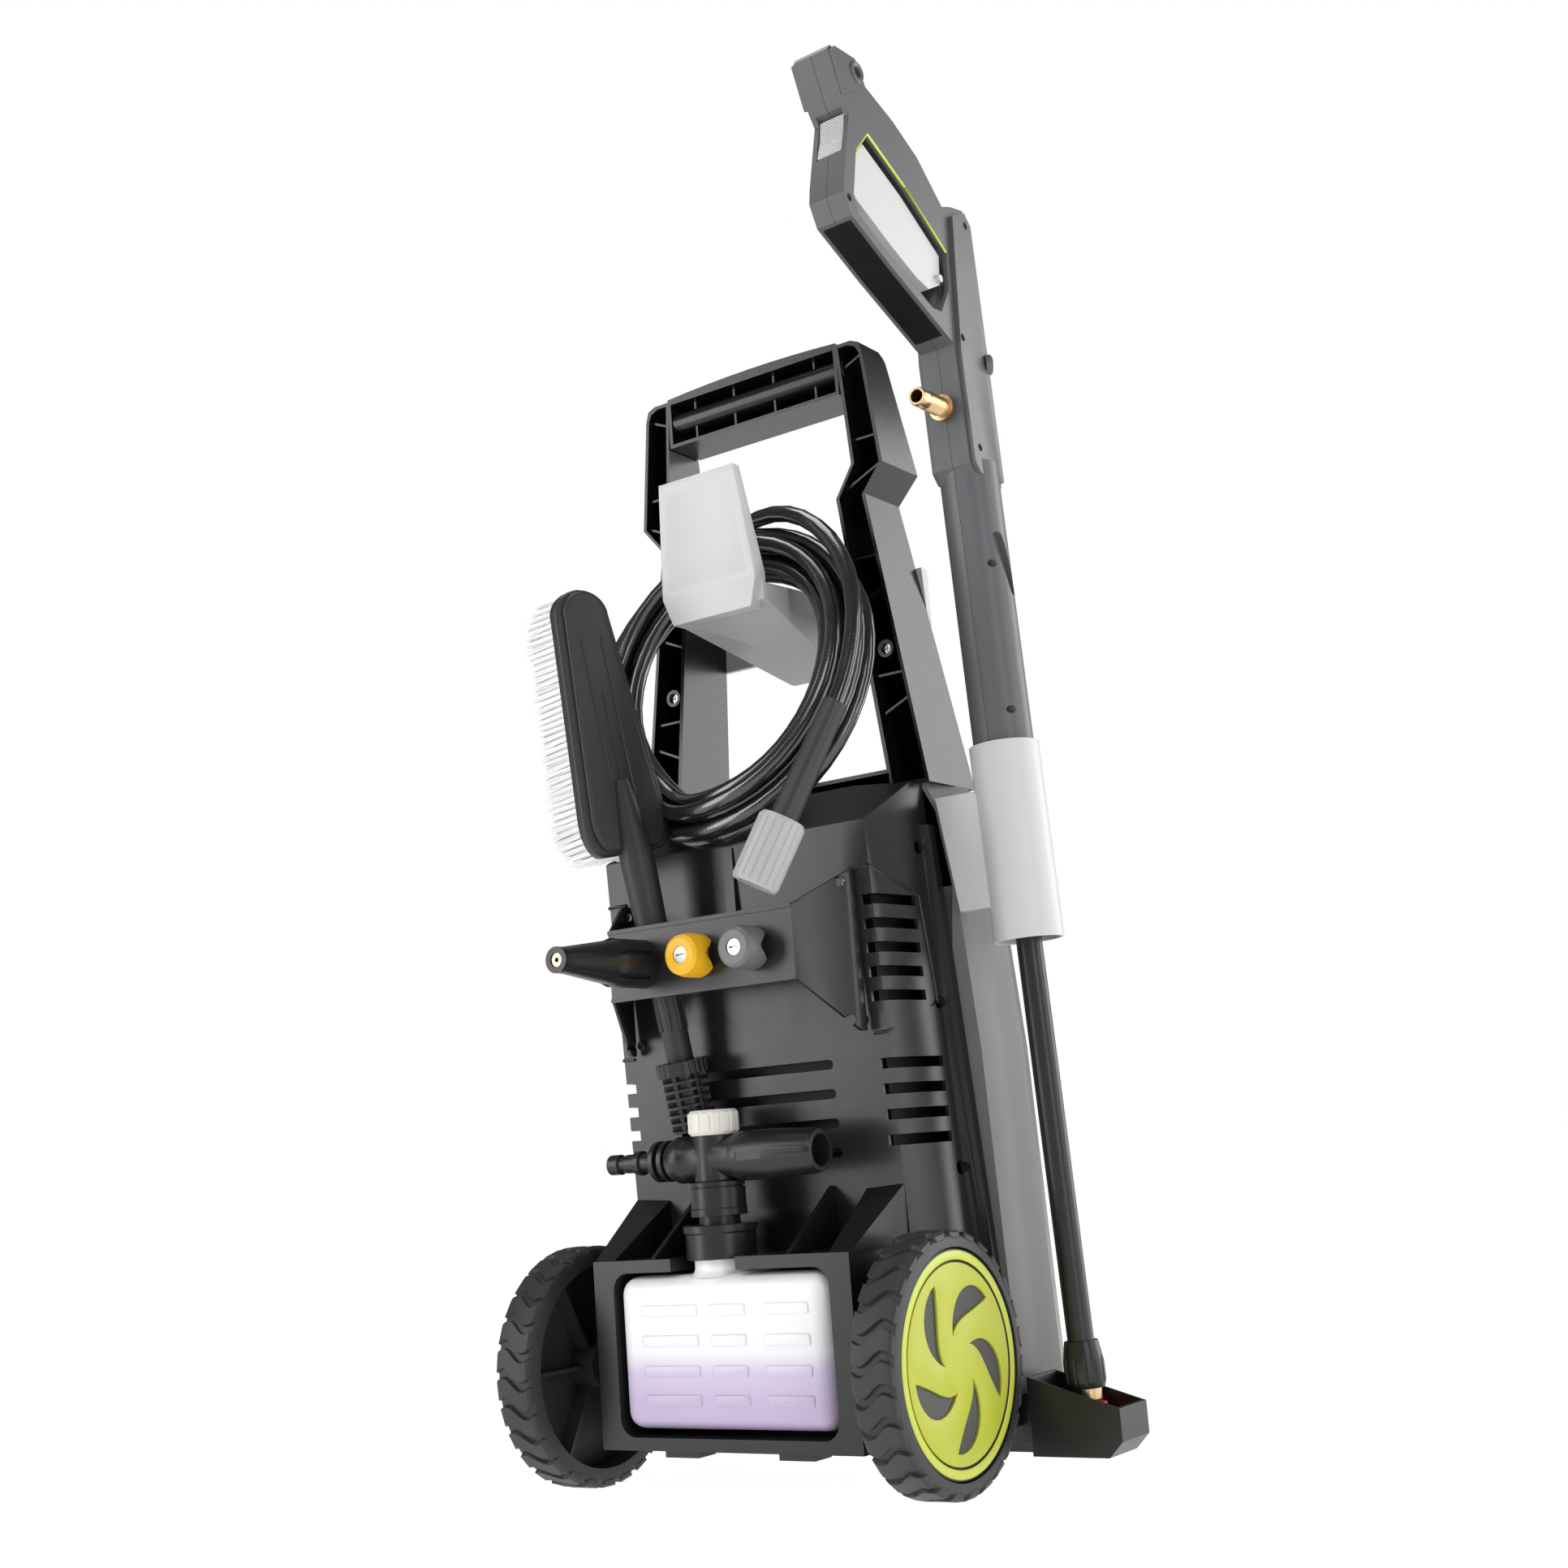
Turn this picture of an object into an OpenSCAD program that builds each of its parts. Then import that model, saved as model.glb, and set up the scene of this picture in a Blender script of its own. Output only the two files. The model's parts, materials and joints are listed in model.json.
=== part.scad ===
// Upright electric pressure washer, standing on two wheels and a front foot.
// +Z is up, the back of the machine with its accessories faces +Y, and +X is its left when seen from behind.

/* [Casing] */
// Height of the casing's flat top above the ground
case_top = 500; // [470:1:540]
// Height of the casing's rear edge, where the crown starts
rear_edge_z = 467; // [450:1:468]
// Height of the casing's underside
base_z = 33; // [24:1:40]
// Half the width of the rear face
rear_half = 121; // [112:1:125]
// Distance of the rear face in front of the axle, at its foot
rear_foot = 37; // [32:1:44]
// How far the rear face leans back over its height
rear_lean = 24; // [10:1:28]
// Distance of the joint between the two shells in front of the axle, at its foot
seam_foot = 104; // [98:1:112]
// Depth of the front shell
front_depth = 141; // [120:1:165]
// Half the width of the front shell at its widest
front_half = 166; // [155:1:180]
// Wall of the casing mouldings
wall = 3; // [2:0.5:4]

/* [Wheels] */
// Width over the outer faces of the two wheels
track_w = 343; // [335:1:380]
// Radius of a wheel over its tread
wheel_r = 88; // [80:1:96]
// Width of a wheel
wheel_w = 34; // [28:1:38]
// Radius of the steel axle
axle_r = 5; // [4:0.5:7]
// Radial running clearance on the axle
run_gap = 0.05; // [0.02:0.01:0.1]

/* [Handle] */
// Height of the handle's top edge at its corners
handle_top = 861; // [820:1:900]
// Half the width of the handle at its top
handle_half = 109; // [100:1:118]
// Half the width of the handle where it stands on the casing
leg_foot_half = 136; // [130:1:138]
// Distance of the handle's open back in front of the axle
handle_back = 86; // [84:1:90]
// Width of a leg at its foot
leg_w = 35; // [28:1:40]
// Height of the channel that carries the grip
bar_h = 41; // [36:1:48]
// Radius of the round grip
grip_r = 9; // [8:0.5:11]

/* [Accessories] */
// Half the width of the accessory panel's flat face
panel_half = 84; // [78:1:90]
// Height of the accessory panel's face
panel_h = 52; // [46:1:60]
// Height of the accessory panel's lower edge
panel_z = 355; // [345:1:365]
// Distance of the panel's face behind the axle
panel_y = 34; // [30:1:40]
// Radius of a nozzle peg
peg_r = 5; // [4:0.5:6]
// Half the width of the detergent bottle
bottle_half = 92; // [80:1:94]
// Depth of the detergent bottle
bottle_d = 64; // [50:1:66]
// Height of the detergent bottle's body
bottle_h = 107; // [90:1:112]
// Height of the foam cannon's centre line
cannon_z = 235; // [232:1:242]

/* [Spray gun] */
// Thickness of the gun's grip and guard
gun_t = 30; // [26:1:34]
// Radius of the barrel where it enters the holster
barrel_r = 22.5; // [20:0.5:24]
// Radius of the lance tube
lance_r = 9.5; // [8:0.5:11]
// Lean of the lance towards the machine's middle, in degrees
lance_lean = 1.72; // [0:0.1:3]

/* [Hose] */
// Outer radius of the hung coil
coil_r = 142; // [130:1:148]
// Diameter of the hose
hose_d = 13; // [10:0.5:14]

/* [Hidden] */
$fn = 48;
gap = 0.3;              // clearance between parts that move or plug together
eps = 0.01;
// shift that centres the machine's outer box on the origin
cup_out = 240;
turbo_len = 95;
tip_out = panel_y + gap + turbo_len;
front_y = -(seam_foot + front_depth);
fitting_out = 17;
shift = [(cup_out - track_w / 2) / 2, -(tip_out + front_y - fitting_out) / 2, 0];
// half width of the side face's front edge, of the joint flange and of the front shell, at height z
function tall(z) = (z - base_z) / (rear_edge_z - base_z);
function rear_y(z) = -rear_foot + rear_lean * tall(z);
function seam_y(z) = -seam_foot + 14 * tall(z);
function side_x(z) = rear_half + 20 - 14.5 * tall(z);
function flange_x(z) = rear_half + 35 - 22 * tall(z);
side_step = 22;         // from the joint back to the side face's front edge
flange_d = 8;           // depth of the joint flange
lance_rake = 0.77;
lance_foot = [-206.4, -111, 20];
lance_dir = [sin(lance_lean) * cos(lance_rake), sin(lance_rake), cos(lance_lean) * cos(lance_rake)];
slot_r = 3.5;
wheel_face = track_w / 2;
wheel_in = wheel_face - wheel_w;
screw_r = 4;
motor_y = -150;
shaft_r = 5;

module mirrored() { children(); mirror([1, 0, 0]) children(); }
module at_lance(s = 0) translate(lance_foot) rotate([-lance_rake, lance_lean, 0]) translate([0, 0, s]) children();
module slab(z, pts) translate([0, 0, z]) linear_extrude(eps) polygon(pts);
function both(pts) = concat(pts, [for (i = [len(pts) - 1:-1:0]) [-pts[i].x, pts[i].y]]);
// a screw with a cross recess, its head's face at z = 0 and its shank going down
module screw(r = screw_r, l = 10) difference() {
    union() {
        translate([0, 0, -2.4]) cylinder(r = r, h = 2.4);
        translate([0, 0, -l]) cylinder(r = r / 2, h = l - 2);
    }
    for (a = [0, 90]) rotate(a) translate([-r * 0.6, -0.5, -1.2]) cube([r * 1.2, 1, 2]);
}
// a slot with round ends along X, cut through h along Z
module slot(l, r, h) for (s = [0]) {
    translate([-l / 2 + r, -r, 0]) cube([l - 2 * r, 2 * r, h]);
    for (e = [-1, 1]) translate([e * (l / 2 - r), 0, 0]) cylinder(r = r, h = h, $fn = 24);
}

// ---- casing ----
function rear_plan(z, t) = both([[rear_half - t, rear_y(z) - t], [side_x(z) - t, seam_y(z) + side_step],
    [side_x(z) - t, seam_y(z)]]);
function crown_plan(t) = both([[rear_half - 30 - t, rear_y(rear_edge_z) - 38 - t],
    [side_x(rear_edge_z) - 2 - t, seam_y(rear_edge_z) + side_step - 8 - t], [side_x(rear_edge_z) - t, seam_y(rear_edge_z)]]);
module rear_core(t = 0) hull() {
    slab(base_z + t, rear_plan(base_z, t));
    slab(rear_edge_z, rear_plan(rear_edge_z, t));
    slab(case_top - eps - t, crown_plan(t));
}
module flange() hull() for (z = [base_z, rear_edge_z]) slab(z, [[side_x(z) - 6, seam_y(z)],
    [flange_x(z), seam_y(z)], [flange_x(z), seam_y(z) + flange_d], [side_x(z) - 6, seam_y(z) + flange_d + 5]]);
// slots that wrap the corners: height of the lowest, pitch, number, start beside the middle, end on the side face
high_vent = [340, 17.3, 5, 111, -64];
low_vent = [238, 18, 4, 112, -76];
back_vent = [232, 21, 4, 72];
vent_h = 7.6;
module corner_slots(v) mirrored() for (i = [0:v[2] - 1]) translate([v[3], v[4], v[0] + i * v[1] - vent_h / 2]) cube([50, 30 - v[4], vent_h]);
module rear_shell() color("#1b1b1d") {
    difference() {
        union() {
            rear_core();
            mirrored() flange();
            // centre rib on the upper back
            translate([-2.5, rear_y(430) - 8, panel_z + panel_h + 6]) cube([9, 11, rear_edge_z - panel_z - panel_h - 10]);
        }
        difference() {
            rear_core(wall);
            // floor left in at the bottom
            translate([-200, -200, 0]) cube([400, 400, base_z + wall]);
            // thicker side walls behind the wheels
            mirrored() translate([wheel_in - 5, -140, 0]) cube([20, 100, 2 * wheel_r]);
        }
        // back slots, four long ones below the panel
        for (i = [0:back_vent[2] - 1]) translate([0, 0, back_vent[0] + i * back_vent[1]]) rotate([90, 0, 0]) slot(2 * back_vent[3], slot_r, 60);
        corner_slots(high_vent);
        corner_slots(low_vent);
        // room for the wheels, and pilot holes for the panel's screws
        mirrored() translate([wheel_in - gap, 0, wheel_r]) rotate([0, 90, 0]) cylinder(r = wheel_r + 2, h = 60);
        mirrored() for (z = panel_screw_z) translate([wing_x - 3, 20, z]) rotate([90, 0, 0]) cylinder(r = 1.8, h = 60);
        // screw pockets in the side steps
        mirrored() for (z = [90, 215, 335, 450]) translate([side_x(z) - 8, seam_y(z) + 15, z]) rotate([0, 90, 0])
            cylinder(r = screw_r + 1.2, h = 14, $fn = 32);
    }
}
// front shell, a bowed cover whose back edge stands proud of the joint flange
function front_plan(z, half, t) = let (sy = seam_y(min(z, rear_edge_z)) - 0.4) both([[half - 9 - t, sy],
    [half - t, sy - 48], [half - 12 - t, sy - 76 + t / 2], [half - 46 - t / 2, sy - 118 + t], [half - 98, front_y + t + (z > 460 ? 16 : 0)]]);
module front_core(t = 0) hull() {
    slab(base_z + t, front_plan(base_z, front_half, t));
    slab(300, front_plan(300, front_half - 3, t));
    slab(420, front_plan(420, front_half - 10, t));
    slab(case_top - 22, front_plan(case_top - 22, front_half - 18, t));
    slab(case_top - eps - t, front_plan(case_top, front_half - 28, t));
}
tenon = [22, 40, 30];
tenon_x = leg_foot_half - leg_w / 2 - tenon.x / 2;
tenon_y = -handle_back - 15 - tenon.y;
module front_shell() color("#6f6c69") difference() {
    front_core();
    difference() {
        front_core(wall);
        translate([-200, -400, 0]) cube([400, 400, base_z + wall]);
    }
    // open back, where the rear shell meets it
    hull() for (z = [base_z + wall, rear_edge_z, case_top - wall]) slab(z, both([[side_x(min(z, rear_edge_z)) - wall, seam_y(min(z, rear_edge_z)) + 1],
        [side_x(min(z, rear_edge_z)) - wall, seam_y(min(z, rear_edge_z)) - 6]]));
    // sockets for the handle's tenons
    mirrored() translate([tenon_x - gap, tenon_y - gap, case_top - 10]) cube([tenon.x + 2 * gap, tenon.y + 2 * gap, 20]);
    // holes for the two water fittings, the switch and the cord
    for (x = [-port_x, port_x]) translate([x, front_y - 5, port_z]) rotate([-90, 0, 0]) cylinder(r = 15, h = 30);
    translate([0, front_y - 5, switch_z]) rotate([-90, 0, 0]) cylinder(r = 6.4, h = 30);
    translate([0, front_y - 5, gland_z]) rotate([-90, 0, 0]) cylinder(r = 7.3, h = 30);
}
port_x = 36;
port_z = 100;
switch_z = 330;
gland_z = 240;
// the same screws hold the shells together and the hook to the handle
module body_screws() color("#8b8d90") mirrored() {
    for (z = [90, 215, 335, 450]) translate([side_x(z) - 5, seam_y(z) + 15, z]) rotate([0, 90, 0]) screw(screw_r, 7);
    translate([screw_x, -handle_back - 9, screw_z]) rotate([-90, 0, 0]) screw(screw_r, 9);
}

// ---- base with the bottle bay ----
bay_half = bottle_half + 21;
bay_back = 38.4;
bay_z = base_z + 14 + bottle_h + 12;
window_half = bottle_half + 3;
notch_half = 29;
axle_boss_r = axle_r + 7;
module window() translate([-window_half, -60, base_z + 9]) rounded_box([2 * window_half, 120, bay_z - base_z - 18], 13);
module base_frame() color("#1d1d1f") difference() {
    union() {
        // frame round the bottle
        difference() {
            translate([-bay_half, rear_y(base_z) - 6, base_z]) cube([2 * bay_half, bay_back - rear_y(base_z) + 6, bay_z - base_z]);
            window();
            // hollow each side of the window
            mirrored() translate([window_half + 4, rear_y(base_z) - 10, base_z + 5]) cube([bay_half - window_half - 8, 60, bay_z - base_z - 8]);
            // notch in the top bar for the bottle's neck
            translate([neck_x - notch_half, -60, bay_z - 20]) cube([2 * notch_half, 120, 40]);
        }
        // two ribs from the bay up to the casing, and a wedge at each side
        for (x = [-62, 58]) translate([x + 4, 0, 0]) rotate([90, 0, -90]) linear_extrude(4)
            polygon([[-bay_back + 2, bay_z - 1], [45, bay_z - 1], [45, bay_z + 43], [26, bay_z + 43]]);
        mirrored() hull() {
            slab(bay_z - 1, [[rear_half, -40], [bay_half, bay_back - 1], [bay_half - 18, bay_back - 1], [89, -40]]);
            slab(bay_z + 42, [[rear_half, -40], [rear_half, -28], [89, -31], [89, -40]]);
        }
        // axle tube and its outer bosses
        translate([-wheel_in + 1, 0, wheel_r]) rotate([0, 90, 0]) cylinder(r = axle_boss_r, h = 2 * wheel_in - 2);
        mirrored() translate([bay_half - 2, -axle_boss_r, base_z + 20]) cube([8, 2 * axle_boss_r, wheel_r - base_z - 20]);
        // feet tabs under the bay
        for (x = [34, -66]) translate([x, 8, base_z - 6]) cube([30, 20, 6.5]);
    }
    rear_core(-0.01);
    // room for the bottle through the axle tube
    window();
    translate([-wheel_in, 0, wheel_r]) rotate([0, 90, 0]) cylinder(r = axle_r + run_gap, h = 2 * wheel_in);
}
foot_y = front_y + 24;
module front_foot() color("#161617") union() {
    mirrored() translate([52, foot_y, 0]) cube([66, 34, base_z]);
    translate([-53, foot_y + 6, base_z - 12]) cube([106, 20, 12]);
}

// ---- wheels ----
bore_r = axle_r + run_gap;
module wheel_at(side) translate([side * wheel_face, 0, wheel_r]) rotate([0, -side * 90, 0]) children();
cover_r = wheel_r * 0.855;
cover_t = 4;
module wheel() color("#1a1a1b") {
    rotate_extrude($fn = 96) polygon([[bore_r, 6], [16, 6], [16, 8], [cover_r + 1, 8], [cover_r + 1, 0], [wheel_r - 3, 0],
        [wheel_r, 3], [wheel_r, wheel_w - 3], [wheel_r - 3, wheel_w], [cover_r - 1, wheel_w], [cover_r - 1, 11],
        [16, 11], [16, wheel_w - 1], [bore_r, wheel_w - 1]]);
    for (a = [0:60:300]) rotate(a) translate([15, -1.5, 10]) cube([cover_r - 15, 3, 14]);
}
module hub_cover() color("#b9c23a") translate([0, 0, 1]) rotate_extrude($fn = 96) polygon([[0, 0], [cover_r - 4, 0],
    [cover_r, 2], [cover_r, 3 + cover_t], [cover_r - 3, 3 + cover_t], [cover_r - 3, cover_t], [0, cover_t]]);
module left_wheel() wheel_at(1) wheel();
module right_wheel() wheel_at(-1) wheel();
module left_hub_cover() wheel_at(1) hub_cover();
module right_hub_cover() wheel_at(-1) hub_cover();
axle_end = wheel_face - 6.5;
// two steel stubs, one each side of the bottle
module axle() color("#a9abae") mirrored() translate([window_half + 1, 0, wheel_r]) rotate([0, 90, 0]) cylinder(r = axle_r, h = axle_end - window_half - 1);
// spring clips on the axle, outside the wheels and against the frame's bosses
module axle_clips() color("#8d8f92") mirrored() translate([wheel_in - 0.9, 0, wheel_r]) rotate([0, 90, 0])
    difference() {
        cylinder(r = axle_r + 4, h = 0.8);
        translate([0, 0, -1]) cylinder(r = axle_r, h = 3);
    }

// ---- accessory panel ----
wing_x = 104.5;
wing_y = -13;
panel_t = 3;
panel_screw_z = [panel_z - 31, panel_z + 68];
function panel_path(o) = [[panel_half - 4, panel_y - o], [panel_half, panel_y - 2 - o], [wing_x, wing_y + 8 - o],
    [wing_x + 3, wing_y + 0.5 - o]];
peg_x = [54, 0, -48];
peg_z = panel_z + 25;
peg_len = [20, 15, 15];
module accessory_panel() color("#1c1c1e") difference() {
    union() {
        // face and the two swept wings
        translate([-panel_half, panel_y - panel_t, panel_z]) cube([2 * panel_half, panel_t, panel_h]);
        mirrored() wing();
        // top and bottom flanges, notched for the brush stem
        for (z = [panel_z - 1, panel_z + panel_h - 2]) translate([-panel_half, panel_y - 13, z]) cube([2 * panel_half, 14, 3]);
        for (i = [0:2]) translate([peg_x[i], panel_y - panel_t, peg_z]) rotate([-90, 0, 0]) cylinder(r = peg_r, h = panel_t + peg_len[i]);
    }
    translate([30, panel_y - 20, panel_z - 10]) cube([46, 20 - panel_t, panel_h + 30]);
    mirrored() for (z = panel_screw_z) translate([wing_x - 3, 0, z]) rotate([90, 0, 0]) cylinder(r = 3.7, h = 40);
}
module wing() difference() {
    hull() {
        translate([panel_half - 2, panel_y - panel_t, panel_z]) cube([2, panel_t, panel_h]);
        translate([wing_x, wing_y - 4, panel_z - 39]) cube([3, 6, panel_h + 64]);
    }
    hull() {
        translate([panel_half - 12, panel_y - 2 * panel_t - 1, panel_z + 2]) cube([9, panel_t, panel_h - 4]);
        translate([wing_x - 7, wing_y - 10, panel_z - 37]) cube([6, 10, panel_h + 60]);
    }
    rear_core(-0.02);
}
module panel_screws() color("#77797c") mirrored() for (z = panel_screw_z)
    translate([wing_x - 3, rear_y(z) + 2.6, z]) rotate([-90, 0, 0]) screw(3.4, 8);
module turbo_nozzle() color("#161617") translate([peg_x[0], panel_y + gap, peg_z]) rotate([-90, 0, 0]) difference() {
    rotate_extrude() polygon([[0, 0], [18, 0], [18, 34], [16, 40], [9.5, turbo_len - 7], [9.5, turbo_len], [0, turbo_len]]);
    translate([0, 0, -1]) cylinder(r = peg_r + gap, h = peg_len[0] + 2);
    translate([0, 0, 90]) cylinder(r = 5.1, h = 6);
    for (a = [20:60:320]) rotate(a) translate([17.2, 0, 6]) cylinder(r = 2, h = 50, $fn = 20);
}
module turbo_orifice() color("#c39a5b") translate([peg_x[0], panel_y + gap, peg_z]) rotate([-90, 0, 0]) difference() {
    translate([0, 0, 90]) cylinder(r = 5, h = 4);
    translate([0, 0, 89]) cylinder(r = 1.6, h = 6);
}
// quick-connect spray nozzle, its skirt notched on two sides
module tip_nozzle() rotate([-90, 0, 0]) difference() {
    rotate_extrude() polygon([[peg_r + gap, 0], [16, 0], [16, 14], [14.5, 21], [12, 23], [6.1, 23], [6.1, 16], [peg_r + gap, 16]]);
    for (a = [0, 180]) rotate(a) gun_plate(9, 20, [[-10.5, -1], [10.5, -1], [0.5, 12], [-0.5, 12]]);
}
module yellow_nozzle() color("#eeb111") translate([peg_x[1], panel_y + gap, peg_z]) tip_nozzle();
module grey_nozzle() color("#6f7173") translate([peg_x[2], panel_y + gap, peg_z]) tip_nozzle();
// slotted metal insert of a spray nozzle
module core(i) color("#9a9da0") translate([peg_x[i], panel_y + gap, peg_z]) rotate([-90, 0, 0])
    difference() {
        translate([0, 0, 17]) cylinder(r = 6, h = 5);
        translate([-4, -0.6, 20]) cube([8, 1.2, 5]);
    }

module yellow_core() core(1);
module grey_core() core(2);

// ---- handle ----
kink_z = handle_top - 105;
pinch_z = handle_top - 127;
arch = 5;
arch_r = (handle_half * handle_half + arch * arch) / (2 * arch);
function leg_out(t) = [[handle_half - 10 - t, handle_top - t], [handle_half - 3 - t, handle_top - 3 - t], [handle_half - t, handle_top - 12],
    [handle_half + 10 - t, kink_z], [handle_half - 8 - t, pinch_z], [leg_foot_half - t, case_top + t]];
function leg_in(t) = [[leg_foot_half - leg_w + t, case_top + t], [handle_half - 35 + t, pinch_z + 2], [handle_half - 18.5 + t, kink_z + 5],
    [handle_half - 25 + t, handle_top - t]];
module side_outline(d) rotate([90, 0, 90]) translate([0, 0, -200]) linear_extrude(400)
    polygon([[-handle_back, case_top - 1], [-handle_back, handle_top + 9], [-handle_back - 22 + d, handle_top + 9],
        [-handle_back - 34 + d, handle_top - 8], [-handle_back - 53 + d, kink_z], [-handle_back - 50 + d, pinch_z],
        [-handle_back - 69 + d, case_top - 1]]);
module upright(pts) translate([0, 0, 0]) rotate([90, 0, 0]) translate([0, 0, 40]) linear_extrude(140) polygon(pts);
foot_bar = 15;
rib_pitch = 48;
module handle_frame() color("#131314") difference() {
    union() {
        intersection() {
            side_outline(0);
            difference() {
                union() {
                    mirrored() upright(concat(leg_out(0), leg_in(0)));
                    translate([0, -40, handle_top + arch - arch_r]) rotate([90, 0, 0]) intersection() {
                        cylinder(r = arch_r, h = 140, $fn = 360);
                        translate([-handle_half + 24, arch_r - arch - bar_h, 0]) cube([2 * handle_half - 48, bar_h + arch, 140]);
                    }
                    translate([-leg_foot_half + leg_w - 2, -180, case_top + eps]) cube([2 * (leg_foot_half - leg_w + 2), 140, foot_bar]);
                }
                // hollow back: channel in the legs, in the grip bar and in the foot bar
                intersection() {
                    side_outline(wall);
                    union() {
                        mirrored() upright(concat(leg_out(wall), leg_in(wall)));
                        translate([-handle_half + 27, -180, handle_top - bar_h + 3]) cube([2 * handle_half - 54, 140, bar_h - 6]);
                        translate([-leg_foot_half + leg_w, -180, case_top + 3]) cube([2 * (leg_foot_half - leg_w), 140, foot_bar - 6]);
                    }
                }
            }
        }
        // stiffening ribs across the channels
        for (x = [-60:40:60]) translate([x - 0.9, -handle_back - 33, handle_top - bar_h + 1]) cube([1.8, 28, bar_h - 2]);
        mirrored() intersection() {
            upright(concat(leg_out(1), leg_in(1)));
            side_outline(1);
            for (k = [0:6]) translate([60, -handle_back - 48, case_top + 40 + k * rib_pitch]) rotate([0, k % 2 == 0 ? -24 : 0, 0])
                translate([-10, 0, 0]) cube([110, 44, 1.8]);
        }
        // tenons into the casing
        mirrored() translate([tenon_x, tenon_y, case_top - tenon.z]) cube([tenon.x, tenon.y, tenon.z + 6]);
        // screw bosses, rising from the legs' front wall
        mirrored() translate([screw_x, -handle_back - 58, screw_z]) rotate([-90, 0, 0]) cylinder(r = 7, h = 52);
    }
    mirrored() translate([screw_x, -handle_back - 18, screw_z]) rotate([-90, 0, 0]) cylinder(r = screw_r + 0.3, h = 40);
    // seat of the round grip
    translate([-handle_half + 20, grip_y, grip_z]) rotate([0, 90, 0]) cylinder(r = grip_r, h = 2 * handle_half - 40);
}
screw_x = 104;
screw_z = 610;
grip_y = -handle_back - grip_r - 1;
grip_z = handle_top - bar_h / 2 + 2;
module handle_grip() color("#1b1b1c") translate([-handle_half + 20, grip_y, grip_z]) rotate([0, 90, 0])
    cylinder(r = grip_r, h = 2 * handle_half - 40);

// ---- hose hook: plate across the legs, deep arm and upright paddle ----
hook_x = -8;
paddle_half = 44;
plate_y = -handle_back - 63;
module hose_hook() color("#c9c9c8") difference() {
    union() {
        difference() {
            translate([-handle_half - 5, plate_y, 636]) cube([2 * handle_half + 10, 12, 46]);
            side_outline(0);
        }
        // arm, narrower and deeper towards the plate
        hull() {
            translate([hook_x - 27, plate_y + 2, 612]) cube([54, 6, 60]);
            translate([hook_x - paddle_half, -14, 646]) cube([2 * paddle_half, 6, 13]);
        }
        // upright paddle
        hull() {
            translate([hook_x - paddle_half, -12, 661]) cube([2 * paddle_half, 14, 6]);
            translate([hook_x - 34, -2, 747]) cube([72, 8, 5]);
            translate([hook_x - paddle_half + 7, -12, 640]) cube([2 * paddle_half - 14, 12, 6]);
        }
    }
    // the arm is a shell, open only at the plate
    hull() {
        translate([hook_x - 24, plate_y - 1, 615]) cube([48, 4, 54]);
        translate([hook_x - 34, -50, 640]) cube([68, 4, 18]);
    }
}

// ---- hose ----
coil_tilt = 17;         // the coil's foot leans back, clear of the casing
coil_in = 90;
coil_t = 38;
coil_c = [2, -27, 597];
// a place in the coil: angle from its left, radius, and side towards the back of the machine
function in_coil(a, r, side) = coil_c + r * [cos(a), -sin(coil_tilt) * sin(a), cos(coil_tilt) * sin(a)]
    + side * [0, cos(coil_tilt), sin(coil_tilt)];
module hose_coil() color("#1a1a1b") difference() {
    translate(coil_c) rotate([90 + coil_tilt, 0, 0]) translate([0, 0, -coil_t / 2])
        rotate_extrude($fn = 72) translate([coil_in, 0]) square([coil_r - coil_in, coil_t]);
    // the turns give way to the brush
    at_brush(196) translate([-6, -41, 0]) cube([66, 82, 290]);
    at_brush(140) cylinder(r = 17, h = 130);
}
// free end of the hose, lying on the coil's face, down to its sleeve
sleeve_top = [-126, 19, 548];
sleeve_dir = [0.4, 0.25, -0.882];
face_gap = coil_t / 2 + hose_d / 2 + 0.2;
hose_route = [for (a = [130:12:190]) in_coil(a, coil_r - 6, face_gap), sleeve_top - 10 * sleeve_dir, sleeve_top - 4 * sleeve_dir, sleeve_top - 0.2 * sleeve_dir];
sleeve_len = 92;
nut_len = 52;
function unit(v) = v / norm(v);
function axis_at(path, i) = unit(path[min(i + 1, len(path) - 1)] - path[max(i - 1, 0)]);
function ring(c, d, r, n) = let (u = unit(cross(d, [0, 1, 0.2])), v = cross(u, d))
    [for (k = [0:n - 1]) c + r * (u * cos(360 * k / n) + v * sin(360 * k / n))];
module tube(path, r, n = 12) polyhedron(
    points = [for (i = [0:len(path) - 1]) each ring(path[i], axis_at(path, i), r, n)],
    faces = concat([[for (k = [n - 1:-1:0]) k]], [for (i = [0:len(path) - 2], k = [0:n - 1])
        [i * n + k, i * n + (k + 1) % n, (i + 1) * n + (k + 1) % n, (i + 1) * n + k]],
        [[for (k = [0:n - 1]) (len(path) - 1) * n + k]]), convexity = 4);
module hose_tail() color("#1a1a1b") tube(hose_route, hose_d / 2);
module on_sleeve(s) translate(sleeve_top + s * sleeve_dir) rotate([0, 0, atan2(sleeve_dir.y, sleeve_dir.x)])
    rotate([0, acos(sleeve_dir.z), 0]) children();
module hose_sleeve() color("#3a3b3d") on_sleeve(gap) rotate_extrude() polygon([[0, 0], [9, 0], [10.5, sleeve_len - 12],
    [10.5, sleeve_len + 20], [0, sleeve_len + 20]]);
module hose_nut() color("#b9b8b7") on_sleeve(sleeve_len) difference() {
    rotate_extrude() polygon([[10.5 + gap, 0], [15.5, 0], [17.5, 3], [17.5, nut_len - 3], [16, nut_len], [11.5, nut_len],
        [11.5, 24], [10.5 + gap, 24]]);
    for (a = [0:20:340]) rotate(a) translate([17.9, 0, -1]) cylinder(r = 1.1, h = nut_len + 2, $fn = 16);
}

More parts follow.
